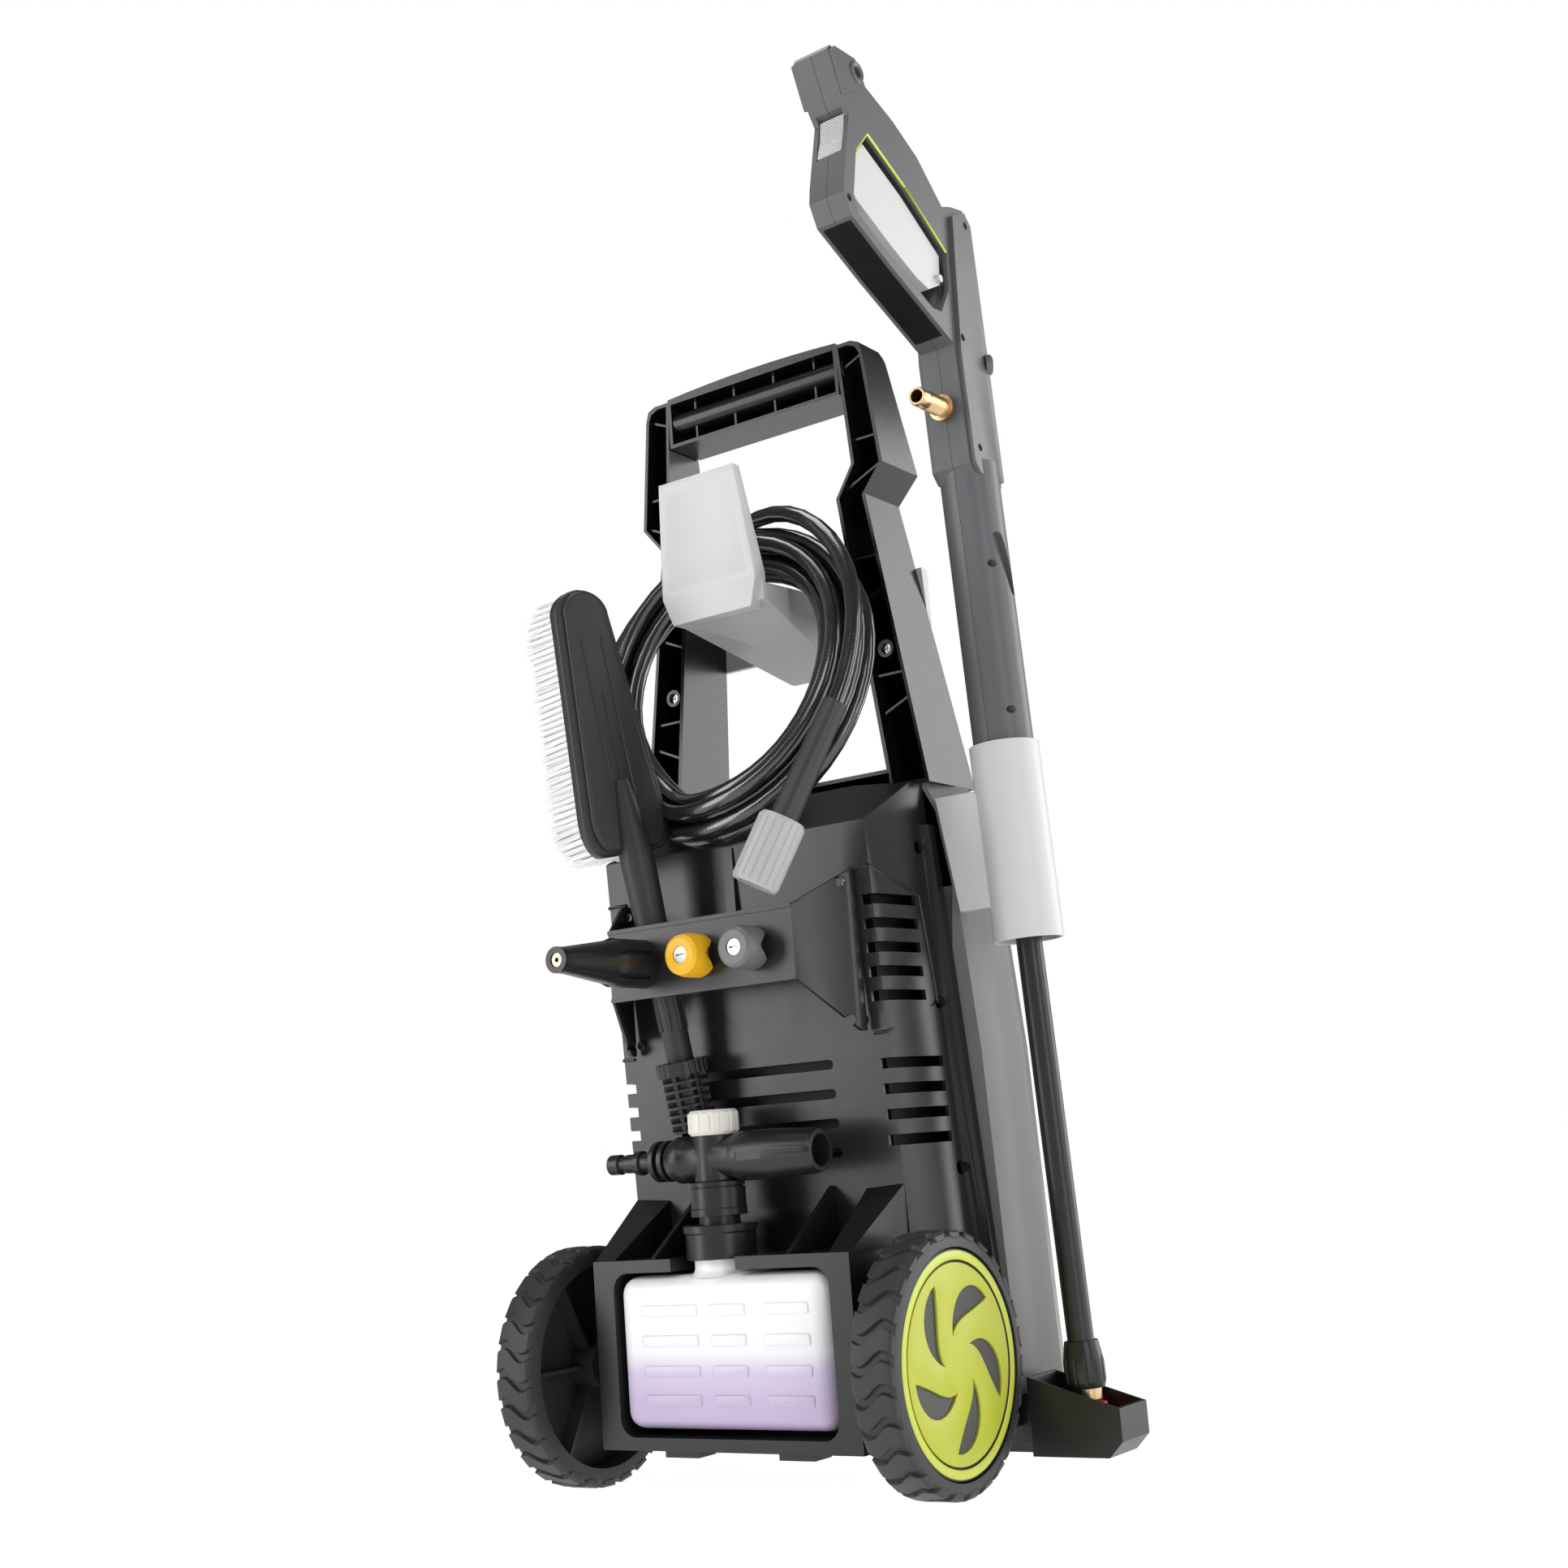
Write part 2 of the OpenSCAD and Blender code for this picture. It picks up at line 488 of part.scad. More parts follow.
// ---- holster and cup for the lance ----
holster_s = [354, 500];
holster_wall = 2.5;
holster_r = barrel_r + 1 + holster_wall;
module gun_holster() color("#d2d1d0") difference() {
    union() {
        at_lance(holster_s[0]) cylinder(r = holster_r, h = holster_s[1] - holster_s[0]);
        // bracket plate to the casing's side
        translate([0, -86, 0]) rotate([90, 0, 0]) linear_extrude(12) polygon([[-139, 486], [-172, 486], [-180, 478], [-183, 399], [-152, 399]]);
    }
    at_lance(holster_s[0] - 1) cylinder(r = barrel_r + 1, h = holster_s[1] - holster_s[0] + 2);
    front_core(-0.02);
    rear_core(-0.02);
}
cup_wall = 2.5;
cup_in = 170;
cup_y = -131;
cup_d = 43;
cup_z = 14;
// section of the cup: the rim falls away outwards and the outer bottom corner slopes
function cup_shape(t, rim) = [[-cup_out + t, cup_z + 11 + t / 2], [-cup_out + 11 + t / 2, cup_z + t], [-cup_in - t, cup_z + t],
    [-cup_in - t, 68 + rim], [-cup_out + t, 47 + rim]];
module cup_block(t, rim) translate([0, cup_y + cup_d - t, 0]) rotate([90, 0, 0]) linear_extrude(cup_d - 2 * t) polygon(cup_shape(t, rim));
module lance_cup() color("#1e1e20") difference() {
    union() {
        difference() {
            cup_block(0, 0);
            cup_block(cup_wall, 20);
        }
        translate([-cup_in - 1, cup_y, cup_z + 6]) cube([16, 28, 34]);
    }
    front_core(-0.02);
}

// ---- spray gun and lance, built upright along the lance's own axis ----
gun_s = 378;
barrel_top = 716;
function gun_shape() = [[-22, 701], [-24, 729], [-20, 788], [-26, 836], [-23, 904], [-17, 929], [3, 925.5], [16, 921], [46, 951],
    [77, 969], [112, 983], [117, 994], [127, 999], [157, 998], [160, 994], [148, 961], [141, 950], [158, 896], [161, 883], [154, 866.5],
    [105, 842], [58, 821], [25, 806], [24, 712], [16, 701]];
function hand_gap() = [[118, 943], [137, 923], [148, 884], [145, 871], [103, 850], [51, 827], [38, 828], [22, 850], [18, 883], [71, 918]];
module gun_plate(x0, x1, pts) translate([x0, 0, 0]) rotate([90, 0, 90]) linear_extrude(x1 - x0) polygon(pts);
lock_at = [140.5, 935];
lock_lean = 17.5;
module at_lock() translate([0, lock_at[0], lock_at[1]]) rotate([lock_lean, 0, 0]) children();
module gun_solid() difference() {
    union() {
        gun_plate(-gun_t / 2, gun_t / 2, gun_shape());
        gun_plate(-19, 19, [[-20, 704], [15, 704], [22, 712], [22, 800], [14, 868], [8, 915], [-12, 924], [-20, 915]]);
        translate([0, 0, gun_s]) cylinder(r = barrel_r, h = barrel_top - gun_s);
        // end cap and its hanging eye
        gun_plate(-18, 18, [[121, 975], [139, 966], [148, 962], [159, 993], [155, 997], [128, 998], [121, 992]]);
    }
    gun_plate(-40, 40, hand_gap());
    // room for the trigger inside the grip
    gun_plate(-11, 11, [[134, 926], [126, 946], [108, 956], [60, 926], [14, 890], [10, 862], [22, 836], [60, 852]]);
    // lock window, inlet and lance sockets
    at_lock() translate([-11, -4, -18.5]) cube([22, 20, 37]);
    translate([0, 0, inlet_s]) rotate([-90, 0, 0]) cylinder(r = 8, h = 60);
    translate([0, 0, gun_s - 1]) cylinder(r = lance_r, h = 60);
    translate([-20, 128, 987]) rotate([0, 90, 0]) cylinder(r = 4, h = 40, $fn = 24);
    // screw wells, and a long recess in each side of the barrel
    for (p = gun_screw_at) translate([-24, p[0], p[1]]) rotate([0, 90, 0]) cylinder(r = 3, h = 16, $fn = 24);
    mirrored() translate([17.5, 1, 635]) rotate([-18, 0, 0]) rotate([0, 90, 0]) slot(50, 5.5, 8);
    // pivot pins
    translate([-14, trigger_pivot[0], trigger_pivot[1]]) rotate([0, 90, 0]) cylinder(r = 3.05, h = 28, $fn = 32);
    at_lock() translate([-13.2, 0, 0]) rotate([0, 90, 0]) cylinder(r = 1.55, h = 26.4, $fn = 24);
}
inlet_s = 758;
gun_screw_at = [[154.5, 880], [-11, 913], [17, 812], [12, 725], [14, 634], [14, 522]];
module half(side) at_lance() intersection() {
    gun_solid();
    translate([side > 0 ? 0.15 : -60.15, -100, gun_s - 5]) cube([60, 300, 700]);
}
module gun_left_half() color("#5b5d60") half(1);
module gun_right_half() color("#5b5d60") half(-1);
module gun_screws() color("#2a2a2c") at_lance() for (p = gun_screw_at) translate([-10.5, p[0], p[1]]) rotate([0, -90, 0])
    screw(2.8, 2.45);
trigger_pivot = [30, 858];
module gun_trigger() color("#cfcfce") at_lance() union() {
    gun_plate(-10, 10, [[118, 937], [134, 921], [141, 893], [137, 887], [92, 864], [61, 850], [44, 846], [26, 855], [22, 880], [70, 912]]);
    translate([-13.9, trigger_pivot[0], trigger_pivot[1]]) rotate([0, 90, 0]) cylinder(r = 3, h = 27.8, $fn = 32);
}
module gun_lock() color("#d9d9d8") at_lance() at_lock() {
    gun_plate(-10.3, 10.3, [[-2, -17], [4.8, -17], [3.8, 0], [4.8, 17], [-2, 17]]);
    translate([-13, 0, 0]) rotate([0, 90, 0]) cylinder(r = 1.5, h = 26, $fn = 24);
}
module gun_inlet() color("#c39a5b") at_lance(inlet_s) rotate([-90, 0, 0]) difference() {
    rotate_extrude() polygon([[5, 14], [5, 12], [7.95, 12], [7.95, 28], [10, 28], [10, 31], [7.5, 31], [7.5, 66], [5, 66]]);
    translate([0, 0, 10]) cylinder(r = 5, h = 60);
}
module lance_tube() color("#1c1c1d") at_lance() difference() {
    translate([0, 0, 64]) cylinder(r = lance_r, h = gun_s + 55 - 64);
    translate([0, 0, 60]) cylinder(r = lance_r - 3, h = 500);
}
module lance_collar() color("#1a1a1b") at_lance(38) difference() {
    rotate_extrude() polygon([[lance_r + 1, 0], [13, 0], [14.5, 5], [14.5, 18], [12, 32], [lance_r + 1, 32]]);
    for (a = [0:30:330]) rotate(a) translate([15, 0, 2]) cylinder(r = 1.3, h = 20, $fn = 16);
}
module lance_coupler() color("#c39a5b") at_lance() difference() {
    union() {
        translate([0, 0, 30]) cylinder(r = lance_r + 0.7, h = 34);
        translate([0, 0, 64]) cylinder(r = lance_r - 3, h = 20);
    }
    translate([0, 0, 25]) cylinder(r = 5.05, h = 70);
}
module spray_tip() color("#d8432a") at_lance() difference() {
    union() {
        translate([0, 0, 12]) cylinder(r = 13, h = 16);
        translate([0, 0, 27]) cylinder(r = 5, h = 18);
    }
    translate([0, 0, 8]) cylinder(r = 1.2, h = 40);
}

// ---- foam cannon and bottle ----
neck_x = 12;
neck_y = 14;
bottle_z = base_z + 14;
module bottle() color("#dfe0ee") union() {
    translate([-bottle_half, bay_back + 1 - bottle_d, bottle_z]) rounded_box([2 * bottle_half, bottle_d, bottle_h], 12);
    translate([neck_x, neck_y, bottle_z + bottle_h - 2]) cylinder(r = 20, h = 23);
}
module rounded_box(v, r) union() {
    translate([r, 0, 0]) cube([v.x - 2 * r, v.y, v.z]);
    translate([0, 0, r]) cube([v.x, v.y, v.z - 2 * r]);
    for (x = [r, v.x - r], z = [r, v.z - r]) translate([x, 0, z]) rotate([-90, 0, 0]) cylinder(r = r, h = v.y);
}
collar_z = bottle_z + bottle_h + 10;
module on_neck(z) translate([neck_x, neck_y, z]) children();
module cannon_collar() color("#161617") on_neck(collar_z) rotate_extrude()
    polygon([[20.3, 0], [25.5, 0], [25.5, 18], [27, 18.6], [27, 24], [15.02, 24], [15.02, 20], [20.3, 20]]);
module cannon_body() color("#161617") difference() {
    union() {
        on_neck(collar_z) rotate_extrude() polygon([[0, 18], [15, 18], [15, 30], [20.5, 30], [20.5, 35], [20, 35.5], [20, 50],
            [18.5, 50], [18.5, 51], [20, 51], [20, 54], [16, 55], [16, cannon_z + 16 - collar_z], [0, cannon_z + 16 - collar_z]]);
        // cross tube: stub for the nozzle, dome, two fins and the plug for the gun
        on_neck(cannon_z) rotate([0, 90, 0]) rotate_extrude() polygon([[0, -34], [12, -34], [12, -22], [15.5, -22], [15.5, 20],
            [17, 23], [17, 31], [14, 38], [8, 38.5], [8, 40], [15, 40], [15, 44], [8, 44], [8, 48], [15, 48], [15, 52], [8, 52], [7, 60],
            [7, 66], [9, 67], [9, 72], [7, 73], [7, 82], [5.6, 83], [5.6, 87], [7.5, 88], [7.5, 97.4], [0, 97.4]]);
    }
    on_neck(cannon_z) translate([-40, 0, 0]) rotate([0, 90, 0]) cylinder(r = 3.5, h = 160);
}
module cannon_nozzle() color("#151516") on_neck(cannon_z) translate([-22 - gap, 0, 0]) rotate([0, -90, 0]) difference() {
    rotate_extrude() polygon([[12 + gap, 0], [17, 0], [17.8, 5], [17.8, 30], [15.8, 66], [14.6, 70], [11.4, 70], [10.5, 56], [5, 40], [5, 14], [12 + gap, 14]]);
    for (a = [30:60:330]) rotate(a) translate([17.4, -3, 8]) cube([4, 6, 22]);
}
module cannon_knob() color("#dcd9cf") on_neck(cannon_z + 16 + gap) difference() {
    rotate_extrude() polygon([[0, 0], [16.5, 0], [18.7, 2.5], [18.7, 15.5], [16.5, 18], [0, 18]]);
    for (a = [0:24:336]) rotate(a) translate([19.5, 0, -1]) cylinder(r = 1.7, h = 22, $fn = 20);
}

// ---- wash brush: stem, head plate and bristles on one leaning axis ----
brush_foot = [45, -5.7, 262.4];
brush_tip = [70, 61.5, 668];
brush_dir = unit(brush_tip - brush_foot);
brush_turn = -20;
module at_brush(s = 0) translate(brush_foot) rotate([-asin(brush_dir.y), atan2(brush_dir.x, brush_dir.z), 0])
    translate([0, 0, s]) rotate([0, 0, brush_turn]) children();
head_s = [205, 412];
head_x = 2;
head_half = 38;
module head_plate(x0, x1, inset) translate([x0, 0, 0]) rotate([90, 0, 90]) linear_extrude(x1 - x0)
    polygon([[-head_half + inset, head_s[0] + 26], [-head_half + 12, head_s[0] + inset], [head_half - 12, head_s[0] + inset],
        [head_half - inset, head_s[0] + 26], [24 - inset, head_s[1] - 24], [14 - inset / 2, head_s[1] - 6], [6, head_s[1] - inset],
        [-6, head_s[1] - inset], [-14 + inset / 2, head_s[1] - 6], [-24 + inset, head_s[1] - 24]]);
module brush_back() color("#1d1d1e") at_brush() union() {
    head_plate(head_x, head_x + 12, 0);
    head_plate(head_x - 4, head_x + 1, 6);
    hull() {
        translate([0, 0, 62]) cylinder(r = 10, h = 1);
        translate([0, 0, 200]) cylinder(r = 13.4, h = 1);
        translate([head_x + 1, 0, 262]) cylinder(r = 6, h = 1);
    }
    translate([0, 0, 20]) cylinder(r = 10, h = 43);
}
module brush_bristles() color("#f2f3f5") at_brush() head_plate(head_x + 12, head_x + 54, 4);
module brush_coupling() color("#171718") at_brush() difference() {
    union() {
        translate([0, 0, -6]) cylinder(r = 11, h = 50);
        for (k = [0:6]) translate([0, 0, -6 + k * 6]) cylinder(r = 17.5, h = 2.2);
        for (a = [0:60:300]) rotate(a) translate([9, -1.2, -6]) cube([7.5, 2.4, 44]);
        translate([0, 0, 36]) cylinder(r = 19.5, h = 10);
    }
    translate([0, 0, -7]) cylinder(r = 6.5, h = 26);
    translate([0, 0, 20]) cylinder(r = 10, h = 60);
    for (a = [0:15:345]) rotate(a) translate([20.2, 0, 35]) cylinder(r = 1.4, h = 12, $fn = 16);
}

// ---- motor and pump inside ----
pump_z = 78;
can_z = 190;
can_h = 170;
can_r = 52;
module inside(z) translate([0, motor_y, z]) children();
module ring_solid(ro, ri, h) difference() { cylinder(r = ro, h = h); translate([0, 0, -1]) cylinder(r = ri, h = h + 2); }
module motor_can() color("#8f9296") inside(can_z) {
    ring_solid(can_r, can_r - 3, can_h);
    ring_solid(can_r - 3, can_r - 22, can_h - 40);
    for (z = [0, can_h - 8]) translate([0, 0, z]) ring_solid(can_r - 3, 11, 8);
}
module motor_rotor() color("#b87d4b") inside(can_z) {
    translate([0, 0, -30]) cylinder(r = shaft_r, h = can_h + 62);
    translate([0, 0, 20]) cylinder(r = can_r - 23, h = can_h - 70);
}
module motor_fan() color("#2d3033") inside(can_z + can_h + 6) {
    ring_solid(12, shaft_r, 18);
    for (a = [0:40:320]) rotate(a) translate([11, -1, 0]) cube([32, 2, 16]);
    translate([0, 0, 16]) ring_solid(44, 10, 2);
}
module motor_bearings() color("#b4b7ba") for (z = [can_z, can_z + can_h - 8]) inside(z) ring_solid(11, shaft_r + run_gap, 8);
module wobble_plate() color("#9c9fa3") inside(can_z - 30) difference() {
    union() {
        cylinder(r = 13, h = 18);
        intersection() {
            translate([0, 0, 6]) rotate([0, 9, 0]) cylinder(r = 27, h = 7, center = true);
            cylinder(r = 40, h = 40, center = true);
        }
    }
    translate([0, 0, -20]) cylinder(r = shaft_r, h = 60);
}
piston_r = 7;
pump_r = 40;
module pump_body() color("#a7a9ab") inside(pump_z + 20) difference() {
    cylinder(r = pump_r, h = can_z - pump_z - 20);
    translate([0, 0, 40]) cylinder(r = 32, h = 100);
    for (a = [0, 120, 240]) rotate(a) translate([18, 0, -1]) cylinder(r = piston_r, h = 60);
}
module pump_pistons() color("#c9cbcd") for (a = [0, 120, 240]) inside(pump_z + 24) rotate(a) translate([18, 0, 0]) cylinder(r = piston_r, h = 54);
module pump_head() color("#34373a") difference() {
    union() {
        inside(pump_z - 8) cylinder(r = 38, h = 28);
        for (x = [-port_x, port_x]) translate([x, front_y + 22, port_z]) rotate([-90, 0, 0]) cylinder(r = 14, h = 62);
        translate([-port_x, motor_y - 36, pump_z - 6]) cube([2 * port_x, 40, 26]);
        for (a = [45:90:315]) inside(base_z + wall) rotate(a) translate([28, 0, 0]) cylinder(r = 6, h = pump_z - base_z - wall);
    }
    for (x = [-port_x, port_x]) translate([x, front_y + 10, port_z]) rotate([-90, 0, 0]) cylinder(r = 7, h = 40);
    inside(pump_z + 20) cylinder(r = 60, h = 100);
}
// male threads for the garden hose and for the pressure hose
module fitting(r, x) translate([x, front_y + 22, port_z]) rotate([90, 0, 0]) difference() {
    union() {
        cylinder(r = 14.5, h = 14);
        translate([0, 0, 13]) cylinder(r = r, h = 22 + fitting_out - 13);
    }
    translate([0, 0, -1]) cylinder(r = 6, h = 80);
}
inlet_r = 13.1;
outlet_r = 11;
module inlet_fitting() color("#c39a5b") fitting(inlet_r, -port_x);
module outlet_fitting() color("#c39a5b") fitting(outlet_r, port_x);
module stop_switch() color("#3c4046") difference() {
    translate([pump_r - 6, motor_y - 14, 120]) cube([24, 28, 34]);
    inside(0) cylinder(r = pump_r, h = 400);
}
module capacitor() color("#b9bcbf") difference() {
    union() {
        translate([-can_r - 19, motor_y, 260]) cylinder(r = 16, h = 76);
        translate([-can_r - 8, motor_y - 8, 280]) cube([12, 16, 30]);
    }
    inside(0) cylinder(r = can_r, h = 500);
}
module power_knob() color("#b9c23a") translate([0, front_y - 0.3, switch_z]) rotate([90, 0, 0]) {
    cylinder(r = 17, h = 8);
    translate([-3.5, -15, 7]) cube([7, 30, 9]);
    translate([0, 0, -22]) cylinder(r = 6, h = 23);
}
module cord_gland() color("#17181a") translate([0, front_y + 4, gland_z]) rotate([90, 0, 0]) difference() {
    union() {
        translate([0, 0, -8]) cylinder(r = 7, h = 12);
        translate([0, 0, 4]) cylinder(r = 10, h = 6);
        translate([0, 0, 3]) cylinder(r = 7, h = 3);
    }
    translate([0, 0, -10]) cylinder(r = 4, h = 40);
}

translate(shift) {
    base_frame();
    rear_shell();
    front_shell();
    body_screws();
    front_foot();
    axle();
    axle_clips();
    left_wheel();
    left_hub_cover();
    right_wheel();
    right_hub_cover();
    accessory_panel();
    panel_screws();
    turbo_nozzle();
    turbo_orifice();
    yellow_nozzle();
    grey_nozzle();
    yellow_core();
    grey_core();
    handle_frame();
    handle_grip();
    hose_hook();
    hose_coil();
    hose_tail();
    hose_sleeve();
    hose_nut();
    gun_holster();
    lance_cup();
    gun_left_half();
    gun_right_half();
    gun_screws();
    gun_trigger();
    gun_lock();
    gun_inlet();
    lance_tube();
    lance_collar();
    lance_coupler();
    spray_tip();
    bottle();
    cannon_collar();
    cannon_body();
    cannon_knob();
    cannon_nozzle();
    brush_back();
    brush_bristles();
    brush_coupling();
    motor_can();
    motor_rotor();
    motor_fan();
    motor_bearings();
    wobble_plate();
    pump_body();
    pump_pistons();
    pump_head();
    inlet_fitting();
    outlet_fitting();
    stop_switch();
    capacitor();
    power_knob();
    cord_gland();
}
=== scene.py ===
import json
import math
import random
import bpy
import bmesh
from mathutils import Vector, Matrix

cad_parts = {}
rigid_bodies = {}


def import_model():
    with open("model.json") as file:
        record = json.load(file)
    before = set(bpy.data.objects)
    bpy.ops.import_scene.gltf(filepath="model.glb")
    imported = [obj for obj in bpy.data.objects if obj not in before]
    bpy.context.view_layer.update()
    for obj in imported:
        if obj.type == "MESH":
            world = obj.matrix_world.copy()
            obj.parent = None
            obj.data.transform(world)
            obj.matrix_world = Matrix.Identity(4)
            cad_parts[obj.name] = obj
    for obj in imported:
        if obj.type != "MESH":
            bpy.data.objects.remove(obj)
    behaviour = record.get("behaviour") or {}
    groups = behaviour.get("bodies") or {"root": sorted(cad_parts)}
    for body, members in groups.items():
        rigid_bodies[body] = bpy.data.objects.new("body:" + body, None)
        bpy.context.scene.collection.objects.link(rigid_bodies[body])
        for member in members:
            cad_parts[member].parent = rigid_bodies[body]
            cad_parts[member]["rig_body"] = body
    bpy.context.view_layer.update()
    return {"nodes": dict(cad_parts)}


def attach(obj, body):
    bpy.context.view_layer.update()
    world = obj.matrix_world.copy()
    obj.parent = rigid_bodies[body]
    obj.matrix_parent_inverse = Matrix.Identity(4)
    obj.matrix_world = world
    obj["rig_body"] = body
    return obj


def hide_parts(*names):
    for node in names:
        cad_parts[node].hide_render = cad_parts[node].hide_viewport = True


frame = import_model()
nodes = frame["nodes"]
scene = bpy.context.scene
print("frame loaded,", len(nodes), "nodes")

mm = 0.001
middle = Vector((34.25, 66.35, 0))  # the axle's middle, as drawn, from the frame's origin, in mm


def at(x, y, z):  # a place given from the axle's middle on the ground, in mm
    return (Vector((x, y, z)) + middle) * mm


# camera, light, floor
view = {"lens": 46.496, "place": (-889.1135, 1207.4424, 235.1373),
        "right": (-0.81539309, -0.57415282, -0.07404488), "up": (-0.16260268, 0.10438976, 0.98115399)}


def setCamera():
    lens = bpy.data.cameras.new("camera")
    lens.lens = view["lens"]
    lens.sensor_width = 36
    lens.clip_start = 0.01
    camera = bpy.data.objects.new("camera", lens)
    right, up = Vector(view["right"]), Vector(view["up"])
    turned = Matrix((right, up, right.cross(up))).transposed().to_4x4()
    camera.matrix_world = Matrix.Translation(at(*view["place"])) @ turned
    scene.collection.objects.link(camera)
    scene.camera = camera


studio = {"world": 0.13, "backdrop": 1.0, "floorGlow": 0.97, "boxes": [
    ("left_softbox", (1.6, 1.9, 0.9), (0, 0, 0.5), (0.9, 2.2), 32),
    ("camera_softbox", (-0.2, 2.6, 2.1), (0, 0, 0.45), (1.4, 0.7), 16),
    ("corner_softbox", (-2.0, 1.15, 0.8), (0, 0, 0.45), (0.35, 2.0), 13),
    ("right_softbox", (-2.2, -0.5, 0.9), (0, 0, 0.5), (0.6, 2.2), 14),
    ("flank_softbox", (-1.5, -2.0, 0.8), (0, 0, 0.45), (1.5, 2.4), 46),
    ("top_softbox", (0.3, 0.1, 2.7), (0, 0, 0.5), (1.3, 1.3), 20)]}


def addSoftbox(name, place, aim, size, power):
    lamp = bpy.data.lights.new(name, "AREA")
    lamp.shape = "RECTANGLE"
    lamp.size, lamp.size_y = size
    lamp.energy = power
    holder = bpy.data.objects.new(name, lamp)
    holder.location = place
    holder.rotation_euler = (Vector(aim) - Vector(place)).to_track_quat("-Z", "Y").to_euler()
    scene.collection.objects.link(holder)


def setStudio():
    scene.view_settings.view_transform = "Standard"
    world = bpy.data.worlds.new("studio")
    world.use_nodes = True
    scene.world = world
    tree = world.node_tree
    sky = tree.nodes["Background"]
    sky.inputs["Color"].default_value = (1, 1, 1, 1)
    sky.inputs["Strength"].default_value = studio["world"]
    paper = tree.nodes.new("ShaderNodeBackground")
    paper.inputs["Color"].default_value = (1, 1, 1, 1)
    paper.inputs["Strength"].default_value = studio["backdrop"]
    seen = tree.nodes.new("ShaderNodeLightPath")
    pick = tree.nodes.new("ShaderNodeMixShader")
    tree.links.new(seen.outputs["Is Camera Ray"], pick.inputs[0])
    tree.links.new(sky.outputs[0], pick.inputs[1])
    tree.links.new(paper.outputs[0], pick.inputs[2])
    tree.links.new(pick.outputs[0], tree.nodes["World Output"].inputs[0])
    for box in studio["boxes"]:
        addSoftbox(*box)
    bm = bmesh.new()
    bmesh.ops.create_grid(bm, x_segments=2, y_segments=2, size=12)
    mesh = bpy.data.meshes.new("floor")
    bm.to_mesh(mesh)
    bm.free()
    floor = bpy.data.objects.new("floor", mesh)
    scene.collection.objects.link(floor)
    return floor


setCamera()
floor = setStudio()
print("camera and studio set")


# finishes
class Wire:
    # a socket of a shader, with the sums written as plain Python

    def __init__(self, finish, socket):
        self.finish = finish
        self.socket = socket

    def sum(self, operation, first, second=None):
        values = [first] if second is None else [first, second]
        return self.finish.node("ShaderNodeMath", {"operation": operation}, dict(enumerate(values)))

    def __add__(self, other):
        return self.sum("ADD", self, other)

    def __radd__(self, other):
        return self.sum("ADD", other, self)

    def __sub__(self, other):
        return self.sum("SUBTRACT", self, other)

    def __rsub__(self, other):
        return self.sum("SUBTRACT", other, self)

    def __mul__(self, other):
        return self.sum("MULTIPLY", self, other)

    def __rmul__(self, other):
        return self.sum("MULTIPLY", other, self)

    def __truediv__(self, other):
        return self.sum("DIVIDE", self, other)

    def most(self, other):
        return self.sum("MAXIMUM", self, other)

    def wave(self):
        return self.sum("SINE", self)


class Finish:
    def __init__(self, name, **constants):
        self.made = bpy.data.materials.new(name)
        self.made.use_nodes = True
        self.tree = self.made.node_tree
        self.shader = self.tree.nodes["Principled BSDF"]
        for key, value in constants.items():
            self.shader.inputs[key.replace("_", " ")].default_value = value
        self.place = self.node("ShaderNodeTexCoord", {}, {}, "Object")

    def node(self, kind, settings, values, out=0):
        made = self.tree.nodes.new(kind)
        stops = settings.pop("stops", None)
        for key, value in settings.items():
            setattr(made, key, value)
        if stops:
            ramp = made.color_ramp
            while len(ramp.elements) < len(stops):
                ramp.elements.new(0.5)
            for element, (where, colour) in zip(ramp.elements, stops):
                element.position = where
                element.color = colour
        for key, value in values.items():
            if isinstance(value, Wire):
                self.tree.links.new(value.socket, made.inputs[key])
            else:
                made.inputs[key].default_value = value
        return Wire(self, made.outputs[out])

    def feed(self, **wires):
        for key, wire in wires.items():
            self.tree.links.new(wire.socket, self.shader.inputs[key.replace("_", " ")])

    def noise(self, scale, detail=3, rough=0.55, place=None):
        return self.node("ShaderNodeTexNoise", {}, {
            "Vector": place or self.place, "Scale": scale, "Detail": detail, "Roughness": rough})

    def axes(self):
        parts = self.node("ShaderNodeSeparateXYZ", {}, {"Vector": self.place})
        node = parts.socket.node
        return [Wire(self, node.outputs[i]) for i in range(3)]

    def ramp(self, value, stops):
        return self.node("ShaderNodeValToRGB", {"stops": [(w, (c, c, c, 1) if isinstance(c, float) else c)
                                                          for w, c in stops]}, {"Fac": value})

    def mix(self, share, first, second):
        return self.node("ShaderNodeMix", {"data_type": "RGBA"}, {0: share, 6: first, 7: second}, 2)

    def bump(self, height, strength, distance, under=None):
        values = {"Height": height, "Strength": strength, "Distance": distance}
        if under:
            values["Normal"] = under
        return self.node("ShaderNodeBump", {}, values)


def shade(colour, factor):
    return tuple(c * factor for c in colour[:3]) + (1,)


def moulded(name, colour, rough, grain=0.12, spread=0.06, grainScale=1500, mottle=0.12):
    # moulded plastic: fine spark texture, faint flow marks and a little dust in the gloss
    finish = Finish(name, IOR=1.46)
    flow = finish.noise(9, 4)
    fine = finish.noise(grainScale, 2, 0.6)
    cloud = finish.noise(55, 4)
    finish.feed(Base_Color=finish.mix(flow, shade(colour, 1 - mottle), shade(colour, 1 + mottle)),
                Roughness=rough - spread + cloud * (1.6 * spread) + fine * (0.4 * spread),
                Normal=finish.bump(fine, grain, 0.0004, finish.bump(cloud, 0.03, 0.002)))
    return finish.made


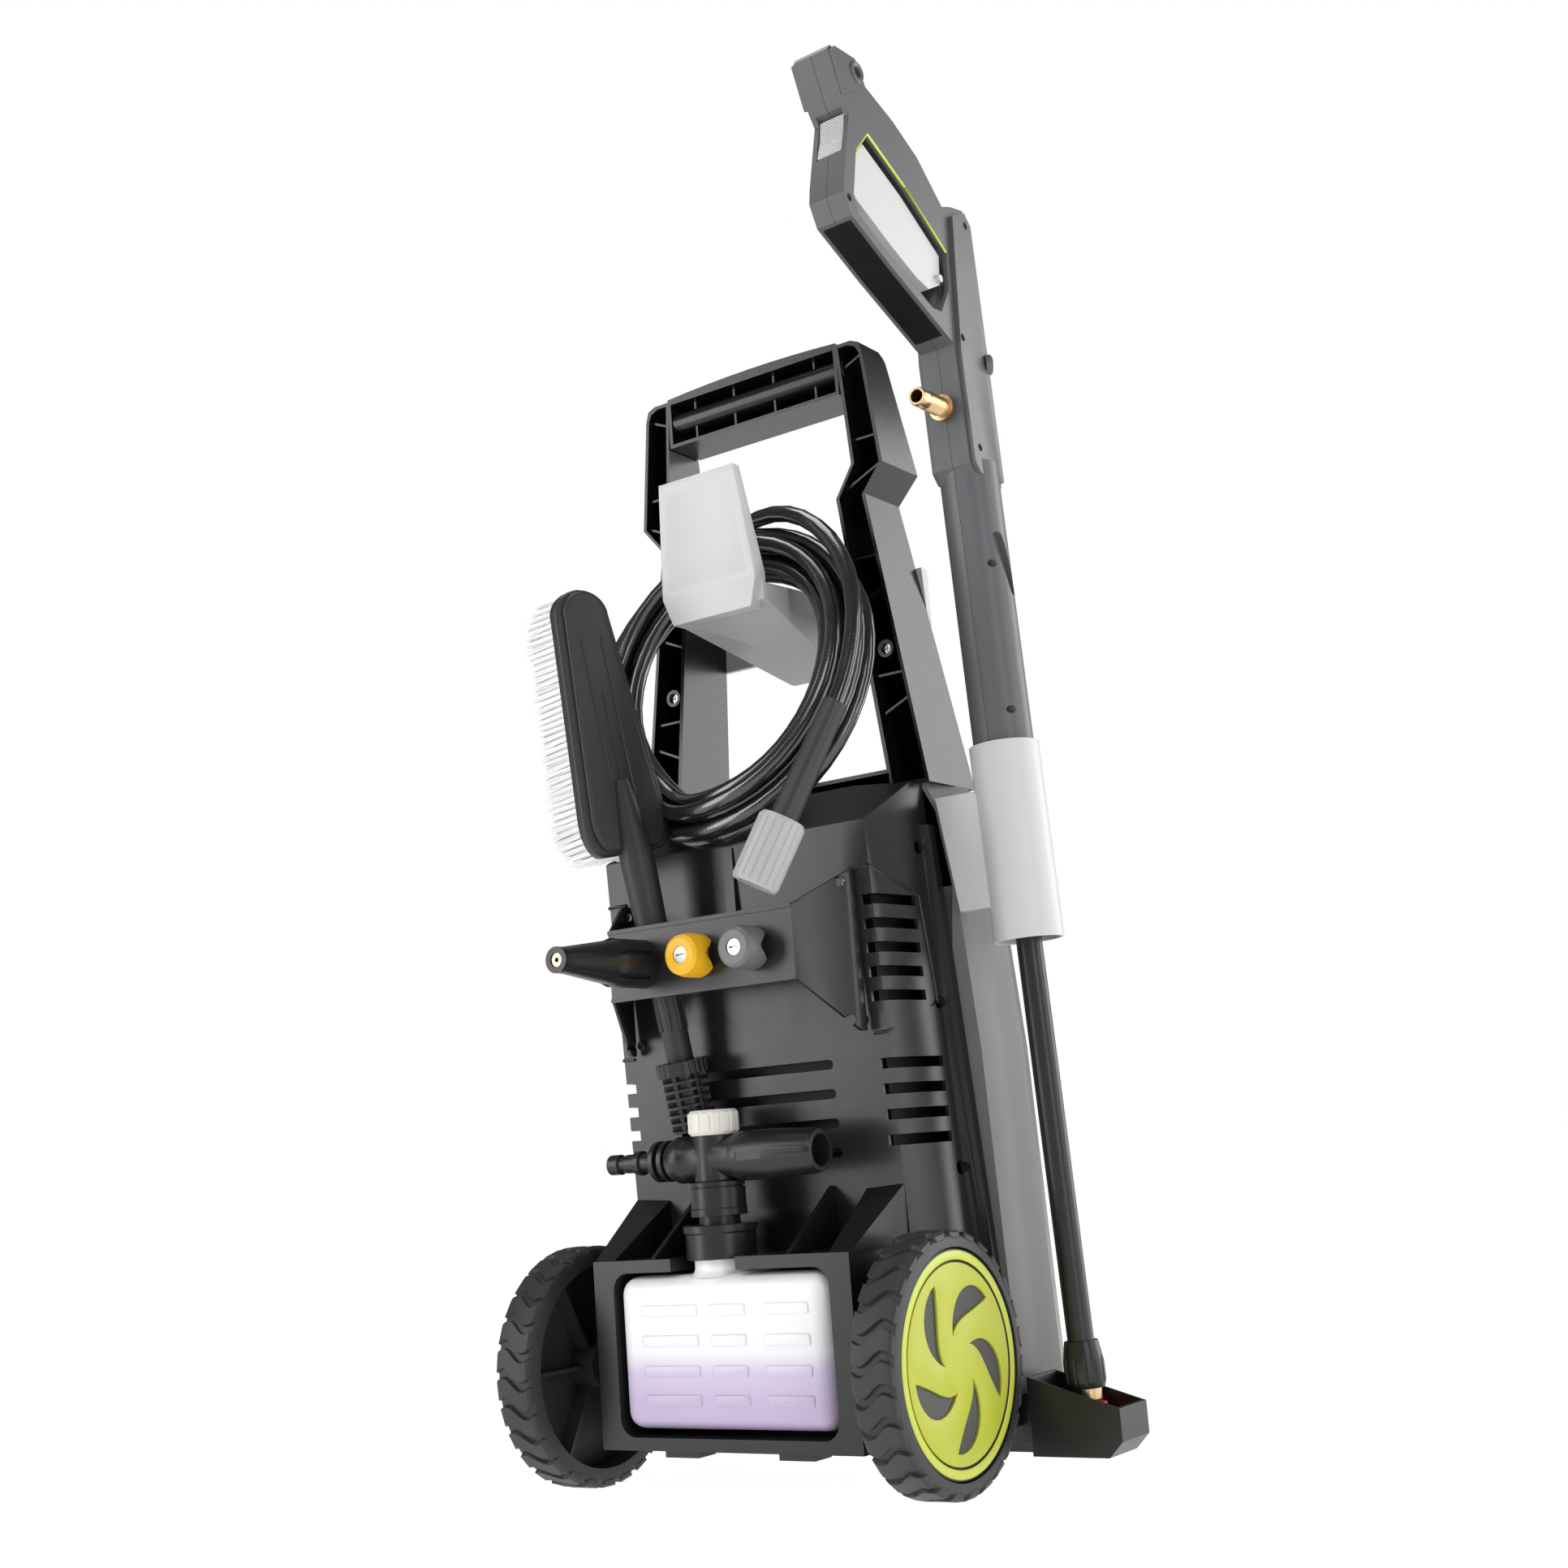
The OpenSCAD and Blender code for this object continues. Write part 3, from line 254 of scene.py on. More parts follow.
def metal(name, colour, rough, streak=400):
    finish = Finish(name, Metallic=1.0)
    lines = finish.noise(streak, 2)
    cloud = finish.noise(40, 3)
    finish.feed(Base_Color=finish.mix(cloud, shade(colour, 0.82), shade(colour, 1.08)),
                Roughness=rough - 0.08 + 0.16 * lines, Normal=finish.bump(lines, 0.08, 0.0003))
    return finish.made


def rubberHose(name, colour, rough, pitch):
    # a hose with fine rings moulded into its jacket
    finish = Finish(name, IOR=1.6, Coat_Weight=0.7, Coat_Roughness=0.07)
    along = finish.node("ShaderNodeUVMap", {}, {})
    parts = finish.node("ShaderNodeSeparateXYZ", {}, {"Vector": along})
    rings = (parts * (2 * math.pi / pitch)).wave()
    dust = finish.noise(70, 3)
    finish.feed(Base_Color=finish.mix(dust, shade(colour, 0.8), shade(colour, 1.3)),
                Roughness=rough + 0.12 * dust, Normal=finish.bump(rings, 0.05, 0.0003))
    return finish.made


casingBlack = moulded("casing_black", (0.015, 0.015, 0.0155), 0.29, grain=0.10)
frameBlack = moulded("frame_black", (0.010, 0.010, 0.0105), 0.32, grain=0.08)
handleBlack = moulded("handle_black", (0.005, 0.005, 0.005), 0.27, grain=0.015, spread=0.02, mottle=0.05)
brushBlack = moulded("brush_black", (0.021, 0.0215, 0.022), 0.46, grain=0.35, grainScale=600)
nozzleBlack = moulded("nozzle_black", (0.014, 0.014, 0.0145), 0.34, grain=0.12)
shellGrey = moulded("shell_grey", (0.16, 0.152, 0.148), 0.4, grain=0.12)
lightGrey = moulded("light_grey", (0.56, 0.56, 0.555), 0.42, grain=0.06, mottle=0.03)
nutGrey = moulded("nut_grey", (0.41, 0.41, 0.405), 0.45, grain=0.06, mottle=0.04)
gunGrey = moulded("gun_grey", (0.098, 0.101, 0.107), 0.4, grain=0.16)
lime = moulded("lime", (0.445, 0.478, 0.033), 0.45, grain=0.25, grainScale=700, mottle=0.03)
limeEdge = moulded("lime_edge", (0.52, 0.58, 0.06), 0.35, mottle=0.03)
hubDark = moulded("hub_dark", (0.05, 0.05, 0.046), 0.5, grain=0.2)
tyreBlack = moulded("tyre_black", (0.026, 0.0265, 0.027), 0.5, grain=0.3, grainScale=800)
yellowTip = moulded("yellow_tip", (0.87, 0.47, 0.012), 0.33, grain=0.04, mottle=0.04)
greyTip = moulded("grey_tip", (0.13, 0.133, 0.137), 0.36, grain=0.04)
redTip = moulded("red_tip", (0.72, 0.055, 0.02), 0.3, grain=0.03, mottle=0.04)
cream = moulded("cream", (0.74, 0.72, 0.66), 0.42, grain=0.05, mottle=0.03)
sleeveGrey = moulded("sleeve_grey", (0.028, 0.029, 0.031), 0.42, grain=0.1)
labelBlack = moulded("label_black", (0.01, 0.01, 0.01), 0.22, grain=0.02)
steel = metal("steel", (0.55, 0.56, 0.58), 0.3)
darkSteel = metal("dark_steel", (0.16, 0.16, 0.17), 0.35)
brass = metal("brass", (0.66, 0.47, 0.25), 0.3)
alloy = metal("alloy", (0.62, 0.63, 0.65), 0.42, 250)
copper = metal("copper", (0.70, 0.36, 0.2), 0.4, 300)
hoseBlack = rubberHose("hose_black", (0.010, 0.010, 0.0105), 0.17, 0.0006)


def paperFloor():
    finish = Finish("studio_paper", Roughness=0.9, Emission_Strength=studio["floorGlow"])
    fibre = finish.noise(3, 2)
    finish.feed(Base_Color=finish.mix(fibre, (0.3, 0.3, 0.3, 1), (0.32, 0.32, 0.32, 1)),
                Emission_Color=finish.mix(fibre, (0.99, 0.99, 0.99, 1), (1, 1, 1, 1)))
    return finish.made


def dottedFinish():
    # light plastic with a grid of small raised dots
    finish = Finish("dotted", IOR=1.46)
    x, y, z = finish.axes()
    dots = ((x * 2600).wave() * (z * 2600).wave()).most(0.0)
    cloud = finish.noise(60, 3)
    finish.feed(Base_Color=finish.mix(cloud, (0.56, 0.56, 0.55, 1), (0.62, 0.62, 0.61, 1)),
                Roughness=0.4 + 0.1 * cloud, Normal=finish.bump(dots, 0.9, 0.0008))
    return finish.made


dotted = dottedFinish()
# near-black matte finish for the painted shade behind the vents
ventShadeBlack = moulded("vent_shade_black", (0.006, 0.006, 0.006), 0.6)
floor.data.materials.append(paperFloor())
print("finishes made")


# making pieces
def weld(bm, gap=2e-6):
    bmesh.ops.remove_doubles(bm, verts=bm.verts, dist=gap)


def faceOut(bm):
    bmesh.ops.recalc_face_normals(bm, faces=bm.faces)


def roundOff(bm, edges, width, segments=3):
    if edges:
        bmesh.ops.bevel(bm, geom=edges, offset=width, offset_type="OFFSET", affect="EDGES",
                        segments=segments, profile=0.5, material=-1, clamp_overlap=True)


def sharpEdges(bm, angle):
    return [e for e in bm.edges if len(e.link_faces) == 2 and e.calc_face_angle(0) > math.radians(angle)]


def finishPiece(bm, name, finish, body, replaced=(), smooth=38, bevel=None):
    mesh = bpy.data.meshes.new(name)
    bm.normal_update()
    bm.to_mesh(mesh)
    bm.free()
    for layer in [a.name for a in mesh.attributes if a.name == "custom_normal"]:
        mesh.attributes.remove(mesh.attributes[layer])
    mesh.polygons.foreach_set("use_smooth", [True] * len(mesh.polygons))
    mesh.set_sharp_from_angle(angle=math.radians(smooth))
    piece = bpy.data.objects.new(name, mesh)
    scene.collection.objects.link(piece)
    for one in finish if isinstance(finish, (list, tuple)) else [finish]:
        mesh.materials.append(one)
    if bevel:
        rounding = piece.modifiers.new("rounding", "BEVEL")
        rounding.width = bevel[0] * mm
        rounding.segments = bevel[1]
        rounding.limit_method = "ANGLE"
        rounding.angle_limit = math.radians(bevel[2] if len(bevel) > 2 else 32)
        rounding.harden_normals = True
        rounding.use_clamp_overlap = True
    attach(piece, body)
    if replaced:
        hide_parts(*replaced)
    return piece


def copyNode(node):
    bm = bmesh.new()
    bm.from_mesh(nodes[node].data)
    weld(bm)
    bmesh.ops.dissolve_limit(bm, angle_limit=math.radians(0.8), use_dissolve_boundaries=False,
                             verts=bm.verts, edges=bm.edges, delimit={"NORMAL"})
    return bm


bodyOf = {n: o["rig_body"] for n, o in nodes.items()}


def dress(node, finish, width=0.8, segments=2, angle=32, smooth=38):
    return finishPiece(copyNode(node), node + "_shown", finish, bodyOf[node], (node,),
                       smooth=smooth, bevel=(width, segments, angle) if width else None)


def lathe(bm, profile, turned, steps=48):
    # a ring of faces round the Z axis from (radius, height) points in mm, then turned into place
    older = set(bm.verts)
    points = [bm.verts.new((r * mm, 0, h * mm)) for r, h in profile]
    edges = [bm.edges.new((a, b)) for a, b in zip(points, points[1:])]
    bmesh.ops.spin(bm, geom=points + edges, angle=2 * math.pi, steps=steps, use_merge=True,
                   axis=(0, 0, 1), cent=(0, 0, 0), use_duplicate=False)
    bmesh.ops.remove_doubles(bm, verts=[v for v in bm.verts if v not in older], dist=1e-6)
    made = [v for v in bm.verts if v not in older]
    bmesh.ops.transform(bm, matrix=turned, verts=made)
    return made


def block(bm, low, high, turned=None):
    made = bmesh.ops.create_cube(bm, size=1)["verts"]
    low, high = Vector(low) * mm, Vector(high) * mm
    for v in made:
        v.co = Vector((low.x if v.co.x < 0 else high.x, low.y if v.co.y < 0 else high.y,
                       low.z if v.co.z < 0 else high.z))
    if turned is not None:
        bmesh.ops.transform(bm, matrix=turned, verts=made)
    return made


def plate(bm, outline, depth, turned):
    # a flat outline of (x, y) points in mm, thickened along Z and turned into place
    points = [bm.verts.new((x * mm, y * mm, 0)) for x, y in outline]
    face = bm.faces.new(points)
    raised = bmesh.ops.extrude_face_region(bm, geom=[face])["geom"]
    tops = [v for v in raised if isinstance(v, bmesh.types.BMVert)]
    bmesh.ops.translate(bm, vec=(0, 0, depth * mm), verts=tops)
    made = points + tops
    bmesh.ops.transform(bm, matrix=turned, verts=made)
    return made


def toward(place, axis, up=(0, 0, 1)):
    # a turn that takes Z to the axis and puts the zero at the place, given in mm from the axle
    z = Vector(axis).normalized()
    x = Vector(up).cross(z)
    x = x.normalized() if x.length > 1e-4 else Vector((1, 0, 0))
    turned = Matrix((x, z.cross(x), z)).transposed().to_4x4()
    return Matrix.Translation(at(*place)) @ turned


# where the lance and the brush stand, as drawn, and how they lean
lance = {"foot": (-206.4, -111, 20), "lean": math.radians(1.72), "rake": math.radians(0.77)}
brushLine = {"foot": Vector((45, -5.7, 262.4)), "tip": Vector((70, 61.5, 668)), "turn": math.radians(-20)}


def lanceTurn():
    turn = Matrix.Rotation(lance["lean"], 4, "Y") @ Matrix.Rotation(-lance["rake"], 4, "X")
    return Matrix.Translation(at(*lance["foot"])) @ turn


def brushTurn():
    lean = (brushLine["tip"] - brushLine["foot"]).normalized()
    turn = Matrix.Rotation(math.atan2(lean.x, lean.z), 4, "Y") @ Matrix.Rotation(-math.asin(lean.y), 4, "X")
    return Matrix.Translation(at(*brushLine["foot"])) @ turn @ Matrix.Rotation(brushLine["turn"], 4, "Z")


# the hose: eight turns on the hook, each at its own radius and distance out, in mm
coil = {"centre": Vector((2, -27, 597)), "tilt": math.radians(17), "diameter": 13.0, "perTurn": 44,
        "start": math.radians(72), "stop": math.radians(198), "wander": 1.6, "sag": 4.0,
        "brushAt": 306, "brushSpan": 22, "pull": 26.0}
crossing = {"usual": (0.66, 0.34), "last": (0, 0.14)}  # where in a turn the hose moves over, and how quickly
lays = [(97, -10), (98, 4), (110, -14), (111, 0), (112, 14), (124, -13), (125, 3), (137, -9), (137, 25)]
sleeve = {"top": Vector((-126, 19, 548)), "way": Vector((0.4, 0.25, -0.882))}


def coilPoint(angle, radius, side):
    lean = coil["tilt"]
    upward = Vector((0, -math.sin(lean), math.cos(lean)))
    outward = Vector((0, math.cos(lean), math.sin(lean)))
    # the turns are pressed aside where the brush head stands, and sag a little at the foot
    nearBrush = math.exp(-((math.degrees(angle) % 360 - coil["brushAt"]) / coil["brushSpan"]) ** 2)
    wander = coil["wander"] * math.sin(2 * angle + radius)
    sag = coil["sag"] * max(0.0, -math.sin(angle)) ** 2
    around = math.cos(angle) * Vector((1, 0, 0)) + math.sin(angle) * upward
    return (coil["centre"] + (radius + wander * 0.5) * around
            + (side - coil["pull"] * nearBrush) * outward - Vector((0, 0, sag)))


def hosePoints():
    points = []
    turns = len(lays) - 1
    start, stop = coil["start"], coil["stop"] + 2 * math.pi * (turns - 1)
    count = int((stop - start) / (2 * math.pi) * coil["perTurn"])
    for i in range(count + 1):
        angle = start + (stop - start) * i / count
        turn = (angle - start) / (2 * math.pi)
        k = min(int(turn), turns)
        begin, span = crossing["last" if k == turns - 1 else "usual"]
        share = min(1, max(0, (turn - k - begin) / span))
        share = share * share * (3 - 2 * share)
        here, after = lays[k], lays[min(k + 1, turns)]
        radius = here[0] + (after[0] - here[0]) * share
        side = here[1] + (after[1] - here[1]) * share
        points.append(coilPoint(angle, radius, side))
    return points


def smoothed(points, rounds):
    for _ in range(rounds):
        inner = [(a + 2 * b + c) / 4 for a, b, c in zip(points, points[1:], points[2:])]
        points = [points[0]] + inner + [points[-1]]
    return points


def makeHose():
    points = hosePoints()
    way = sleeve["way"].normalized()
    end = sleeve["top"] + way * 12
    last = points[-1]
    points += [last.lerp(sleeve["top"], t) for t in (0.35, 0.7)] + [sleeve["top"], end]
    # the hidden end stays behind the paddle, with its plug
    first, second = points[0], points[1]
    back = (first - second).normalized()
    points = [first + back * (9 * n) for n in (2, 1)] + points
    points = smoothed(points, 4)
    curve = bpy.data.curves.new("hose", "CURVE")
    curve.dimensions = "3D"
    curve.bevel_depth = coil["diameter"] / 2 * mm
    curve.bevel_resolution = 4
    curve.use_fill_caps = True
    spline = curve.splines.new("POLY")
    spline.points.add(len(points) - 1)
    for point, target in zip(spline.points, points):
        point.co = (*at(*target), 1)
    spline.use_smooth = True
    curve.materials.append(hoseBlack)
    hose = bpy.data.objects.new("hose", curve)
    scene.collection.objects.link(hose)
    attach(hose, "machine")
    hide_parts("hose_coil", "hose_tail")
    return hose, points


hose, hoseLine = makeHose()


def makePlug():
    bm = bmesh.new()
    way = hoseLine[0] - hoseLine[3]
    lathe(bm, [(0, -14), (8, -14), (9, -12), (9, 8), (7.4, 9), (7.4, 22), (6.4, 23.5), (0, 23.5)],
          toward(hoseLine[0], way), 32)
    faceOut(bm)
    return finishPiece(bm, "hose_plug", brass, "machine", smooth=30)


plug = makePlug()
hoseEnds = [plug, dress("hose_sleeve", sleeveGrey, 0.6), dress("hose_nut", nutGrey, 0.4)]
hoseLength = sum((b - a).length for a, b in zip(hoseLine, hoseLine[1:])) * mm
print("hose made,", round(hoseLength, 2), "m")

# the nodes whose shape is right as it stands: finish, width and steps of the rounding, and its angles
plain = {
    "front_shell": (shellGrey, 3.0, 4, 14, 60), "rear_shell": (casingBlack, 1.6, 3),
    "body_screws": (steel, 0.3), "front_foot": (frameBlack, 2), "axle": (steel, 0.5),
    "axle_clips": (steel, 0.1, 1), "accessory_panel": (casingBlack, 1.1, 3),
    "panel_screws": (darkSteel, 0.25), "turbo_nozzle": (nozzleBlack, 0.8, 3),
    "turbo_orifice": (brass, 0.3), "yellow_nozzle": (yellowTip, 0.9, 3),
    "grey_nozzle": (greyTip, 0.9, 3), "yellow_core": (steel, 0.2), "grey_core": (steel, 0.2),
    "handle_frame": (handleBlack, 0.35, 1), "handle_grip": (handleBlack, 1.0),
    "gun_holster": (lightGrey, 0.9, 3), "lance_cup": (frameBlack, 1.2, 3),
    "gun_left_half": (gunGrey, 2.2, 3, 30), "gun_right_half": (gunGrey, 2.2, 3, 30),
    "gun_screws": (darkSteel, 0.2), "gun_trigger": (lightGrey, 5.0, 5), "lance_tube": (nozzleBlack, 0.3),
    "lance_collar": (nozzleBlack, 0.5), "lance_coupler": (brass, 0.4), "spray_tip": (redTip, 0.8),
    "cannon_collar": (nozzleBlack, 0.5), "cannon_body": (nozzleBlack, 0.5), "cannon_knob": (cream, 0.7),
    "cannon_nozzle": (nozzleBlack, 0.8), "base_frame": (frameBlack, 1.5, 3),
    "brush_coupling": (nozzleBlack, 0.3), "power_knob": (lime, 0.8), "cord_gland": (frameBlack, 0.6),
    "inlet_fitting": (brass, 0.5), "outlet_fitting": (brass, 0.5), "motor_can": (alloy, 0.4),
    "motor_rotor": (copper, 0.4), "motor_fan": (frameBlack, 0.4), "motor_bearings": (steel, 0.2),
    "wobble_plate": (steel, 0.3), "pump_body": (alloy, 0.4), "pump_pistons": (steel, 0.3),
    "pump_head": (alloy, 0.5), "stop_switch": (frameBlack, 0.4), "capacitor": (alloy, 0.4),
    "gun_lock": (dotted, 0.5)}
for node, how in plain.items():
    dress(node, *how)
print("plain nodes dressed")


# wheels: a tyre with wavy lugs over its shoulders, and a lime cover with curved recesses
wheel = {"face": 171.5, "radius": 88, "middle": 17, "spokes": 6}
tyre = {"lugs": 27, "half": math.radians(5.0), "sway": math.radians(3.4), "depth": 2.6,
        "across": [(82.6, 0.5), (86.0, 1.3), (87.7, 3.4), (88, 6), (88, 9.5), (88, 13.2), (88, 17), (88, 20.8),
                   (88, 24.5), (88, 28), (87.7, 30.6), (86.0, 32.7), (82.6, 33.5)],
        "body": [(5.05, 6), (16, 6), (16, 8), (76.2, 8), (76.2, 0.4), (80, 0.5), (83.0, 1.2), (84.8, 3.0),
                 (85.4, 6), (85.4, 28), (84.8, 31), (83.0, 32.8), (80, 33.5), (74, 33.6), (74, 11), (16, 11),
                 (16, 33), (5.05, 33), (5.05, 6)]}


def wheelTurn(side):  # Z points inwards from the wheel's outer face
    return toward((side * wheel["face"], 0, wheel["radius"]), (-side, 0, 0))


def addLug(bm, middleAngle, turned, flip):
    rows = []
    for n, (radius, across) in enumerate(tyre["across"]):
        sway = tyre["sway"] * math.sin((across - wheel["middle"]) / wheel["middle"] * math.pi * 0.95 * flip)
        half = tyre["half"] * (0.75 if n in (0, len(tyre["across"]) - 1) else 1)
        row = []
        for edge, low in ((-1, True), (-0.86, False), (0.86, False), (1, True)):
            angle = middleAngle + sway + edge * half
            r = radius - tyre["depth"] if low else radius
            w = across + (wheel["middle"] - across) * 0.12 if low else across
            row.append(bm.verts.new((r * mm * math.cos(angle), r * mm * math.sin(angle), w * mm)))
        rows.append(row)
    made = [v for row in rows for v in row]
    for a, b in zip(rows, rows[1:]):
        for k in range(3):
            bm.faces.new((a[k], a[k + 1], b[k + 1], b[k]))
        bm.faces.new((a[3], a[0], b[0], b[3]))
    bm.faces.new(rows[0])
    bm.faces.new(rows[-1][::-1])
    bmesh.ops.transform(bm, matrix=turned, verts=made)


def makeTyre(side, node, body):
    bm = bmesh.new()
    turned = wheelTurn(side)
    lathe(bm, tyre["body"], turned, 96)
    for k in range(wheel["spokes"]):
        spoke = turned @ Matrix.Rotation(2 * math.pi * k / wheel["spokes"], 4, "Z")
        block(bm, (15, -1.5, 10), (75, 1.5, 24), spoke)
    for k in range(tyre["lugs"]):
        addLug(bm, 2 * math.pi * k / tyre["lugs"], turned, side)
    faceOut(bm)
    finishPiece(bm, node + "_tread", tyreBlack, body, (node,), smooth=30)


hub = {"ring": 66, "edge": (67.5, 73.9), "recesses": 5, "steps": 14, "from": 19, "reach": 39, "sweep": 1.15,
       "half": 8.6, "skew": math.radians(50)}


def fillPlate(bm, loops, height, depth, turned):
    # a flat plate with holes in it, from closed loops of (x, y) points in mm
    edges = []
    for loop in loops:
        points = [bm.verts.new((x * mm, y * mm, height * mm)) for x, y in loop]
        edges += [bm.edges.new((a, b)) for a, b in zip(points, points[1:] + points[:1])]
    filled = bmesh.ops.triangle_fill(bm, use_beauty=True, use_dissolve=False, edges=edges)["geom"]
    faces = [f for f in filled if isinstance(f, bmesh.types.BMFace)]
    raised = bmesh.ops.extrude_face_region(bm, geom=faces)["geom"]
    tops = [v for v in raised if isinstance(v, bmesh.types.BMVert)]
    bmesh.ops.translate(bm, vec=(0, 0, depth * mm), verts=tops)
    made = list({v for e in edges for v in e.verts} | set(tops))
    bmesh.ops.transform(bm, matrix=turned, verts=made)


def circle(radius, steps=96):
    return [(radius * math.cos(2 * math.pi * k / steps), radius * math.sin(2 * math.pi * k / steps))
            for k in range(steps)]


def recessLoop(turn):
    # a curved drop, wide near the rim and thin towards the middle
    outer, inner = [], []
    for k in range(hub["steps"] + 1):
        t = k / hub["steps"]
        radius = hub["from"] + hub["reach"] * t
        angle = turn + hub["sweep"] * t
        half = hub["half"] * math.sin(math.pi * t ** 1.5) ** 0.8 if 0 < t < 1 else 0
        bend = angle + hub["skew"]
        x, y = radius * math.cos(angle), radius * math.sin(angle)
        across = (-math.sin(bend), math.cos(bend))
        outer.append((x + half * across[0], y + half * across[1]))
        inner.append((x - half * across[0], y - half * across[1]))
    return outer + inner[-2:0:-1]


def makeHubCover(side, node, body):
    turned = wheelTurn(side)
    bm = bmesh.new()
    drops = [recessLoop(2 * math.pi * k / hub["recesses"]) for k in range(hub["recesses"])]
    fillPlate(bm, [circle(hub["ring"]), *drops], 1.6, 2.4, turned)
    faceOut(bm)
    roundOff(bm, sharpEdges(bm, 40), 0.5 * mm, 2)
    finishPiece(bm, node + "_face", lime, body, smooth=35)
    bm = bmesh.new()
    lathe(bm, [(0, 3.4), (66, 3.4), (66.6, 3.2), (67.2, 3.4), (67.8, 1.4), (68.6, 1.0), (73.8, 1.2),
               (74.8, 1.8), (75.2, 3), (75.2, 7.8), (72, 7.8), (72, 5.4), (0, 5.4)], turned, 96)
    faceOut(bm)
    piece = finishPiece(bm, node + "_back", [hubDark, limeEdge], body, (node,), smooth=30)
    for face in piece.data.polygons:
        reach = (turned.inverted() @ face.center).xy.length / mm
        face.material_index = 1 if hub["edge"][0] < reach < hub["edge"][1] else 0


for side, name in ((1, "left"), (-1, "right")):
    makeTyre(side, name + "_wheel", name + "_wheel_body")
    makeHubCover(side, name + "_hub_cover", name + "_wheel_body")
print("wheels made")


# detergent bottle: blown shell with raised bars, white above and lilac below
bottle = {"low": (-92, -24.6, 47), "high": (92, 39.4, 154), "round": 13, "neck": (12, 14),
          "bars": [(-78, -38), (-24, 8), (18, 70)], "rows": (68, 88, 109, 130), "barHalf": 4.4, "proud": 0.9}


def bottleFinish():
    finish = Finish("blown_bottle", IOR=1.5, Subsurface_Weight=0.35, Subsurface_Radius=(0.02, 0.02, 0.024))
    height = finish.axes()[2]
    cloud = finish.noise(14, 3)
    level = height * 1000 - bottle["low"][2] + cloud * 5
    # lilac below and white above are the bottle's own colours; each band is also drawn lighter towards the
    # top, painted shade
    body = finish.ramp(level / (bottle["high"][2] - bottle["low"][2]), [
        (0.0, (0.475, 0.40, 0.575, 1)), (0.22, (0.535, 0.45, 0.63, 1)), (0.40, (0.61, 0.54, 0.70, 1)),
        (0.52, (0.80, 0.81, 0.84, 1)), (0.75, (0.86, 0.87, 0.87, 1)), (1.0, (0.90, 0.91, 0.90, 1))])
    skin = finish.noise(500, 2)
    finish.feed(Base_Color=body, Roughness=0.26 + 0.14 * cloud,
                Normal=finish.bump(skin, 0.05, 0.0005, finish.bump(cloud, 0.12, 0.002)))
    return finish.made


def bar(bm, x0, x1, z):
    back, half = bottle["high"][1], bottle["barHalf"]
    made = block(bm, (x0, back - 5, z - half), (x1, back + bottle["proud"], z + half),
                 Matrix.Translation(middle * mm))
    edges = list({e for v in made for e in v.link_edges})
    roundOff(bm, edges, 2.0 * mm, 4)


def makeBottle():
    bm = bmesh.new()
    block(bm, bottle["low"], bottle["high"], Matrix.Translation(middle * mm))
    roundOff(bm, list(bm.edges), bottle["round"] * mm, 6)
    lathe(bm, [(0, 150), (24, 152), (21, 155), (20, 158), (20, 175), (0, 175)],
          Matrix.Translation(at(*bottle["neck"], 0)), 48)
    for z in bottle["rows"]:
        for x0, x1 in bottle["bars"]:
            bar(bm, x0, x1, z)
    faceOut(bm)
    finishPiece(bm, "bottle_shell", bottleFinish(), "cannon_group", ("bottle",), smooth=50)


makeBottle()
print("bottle made")


# wash brush: rounded back with raised lines, and tufts of nylon
brush = {"face": 14.0, "tip": 55.5, "pitch": 4.6, "strands": 17, "spread": 2.4, "rows": 44, "firstRow": 209,
         "heel": 205, "widest": 231, "shoulder": 388, "half": 38, "tipHalf": 24,
         "stem": [(0, 20), (9.6, 20), (10, 20.6), (10, 62), (13.2, 198), (13.2, 204), (11.6, 222), (8.8, 246),
                  (5.8, 262), (0, 264)]}


def headWidth(s):
    # half the head's width at a place along it
    if s < brush["widest"]:
        return 26 + 12 * (s - brush["heel"]) / 26
    if s < brush["shoulder"]:
        return brush["half"] - 14 * (s - brush["widest"]) / 157
    return brush["tipHalf"] - 18 * ((s - brush["shoulder"]) / 24) ** 1.6


def headTurn():
    # X across the head, Y along it and Z out of its back, for a flat outline
    return brushTurn() @ Matrix(((0, 0, 1, 0), (1, 0, 0, 0), (0, 1, 0, 0), (0, 0, 0, 1)))


def bristleFinish():
    finish = Finish("nylon", IOR=1.5, Subsurface_Weight=0.2, Subsurface_Radius=(0.01, 0.01, 0.01))
    streak = finish.noise(700, 2)
    cloud = finish.noise(60, 3)
    finish.feed(Base_Color=finish.mix(streak, (0.93, 0.94, 0.96, 1), (1.0, 1.0, 1.0, 1)),
                Roughness=0.42 + 0.2 * cloud, Normal=finish.bump(streak, 0.3, 0.0006))
    return finish.made


def addStrand(bm, foot, tip, turned):
    # one three-sided strand of nylon
    rings = []
    for place, thick in ((foot, 0.42), (tip, 0.30)):
        corners = [place + thick * Vector((0, math.cos(a), math.sin(a))) for a in (0.3, 2.39, 4.49)]
        rings.append([bm.verts.new(turned @ (mm * corner)) for corner in corners])
    low, high = rings
    for k in range(3):
        bm.faces.new((low[k], low[(k + 1) % 3], high[(k + 1) % 3], high[k]))
    bm.faces.new(high)


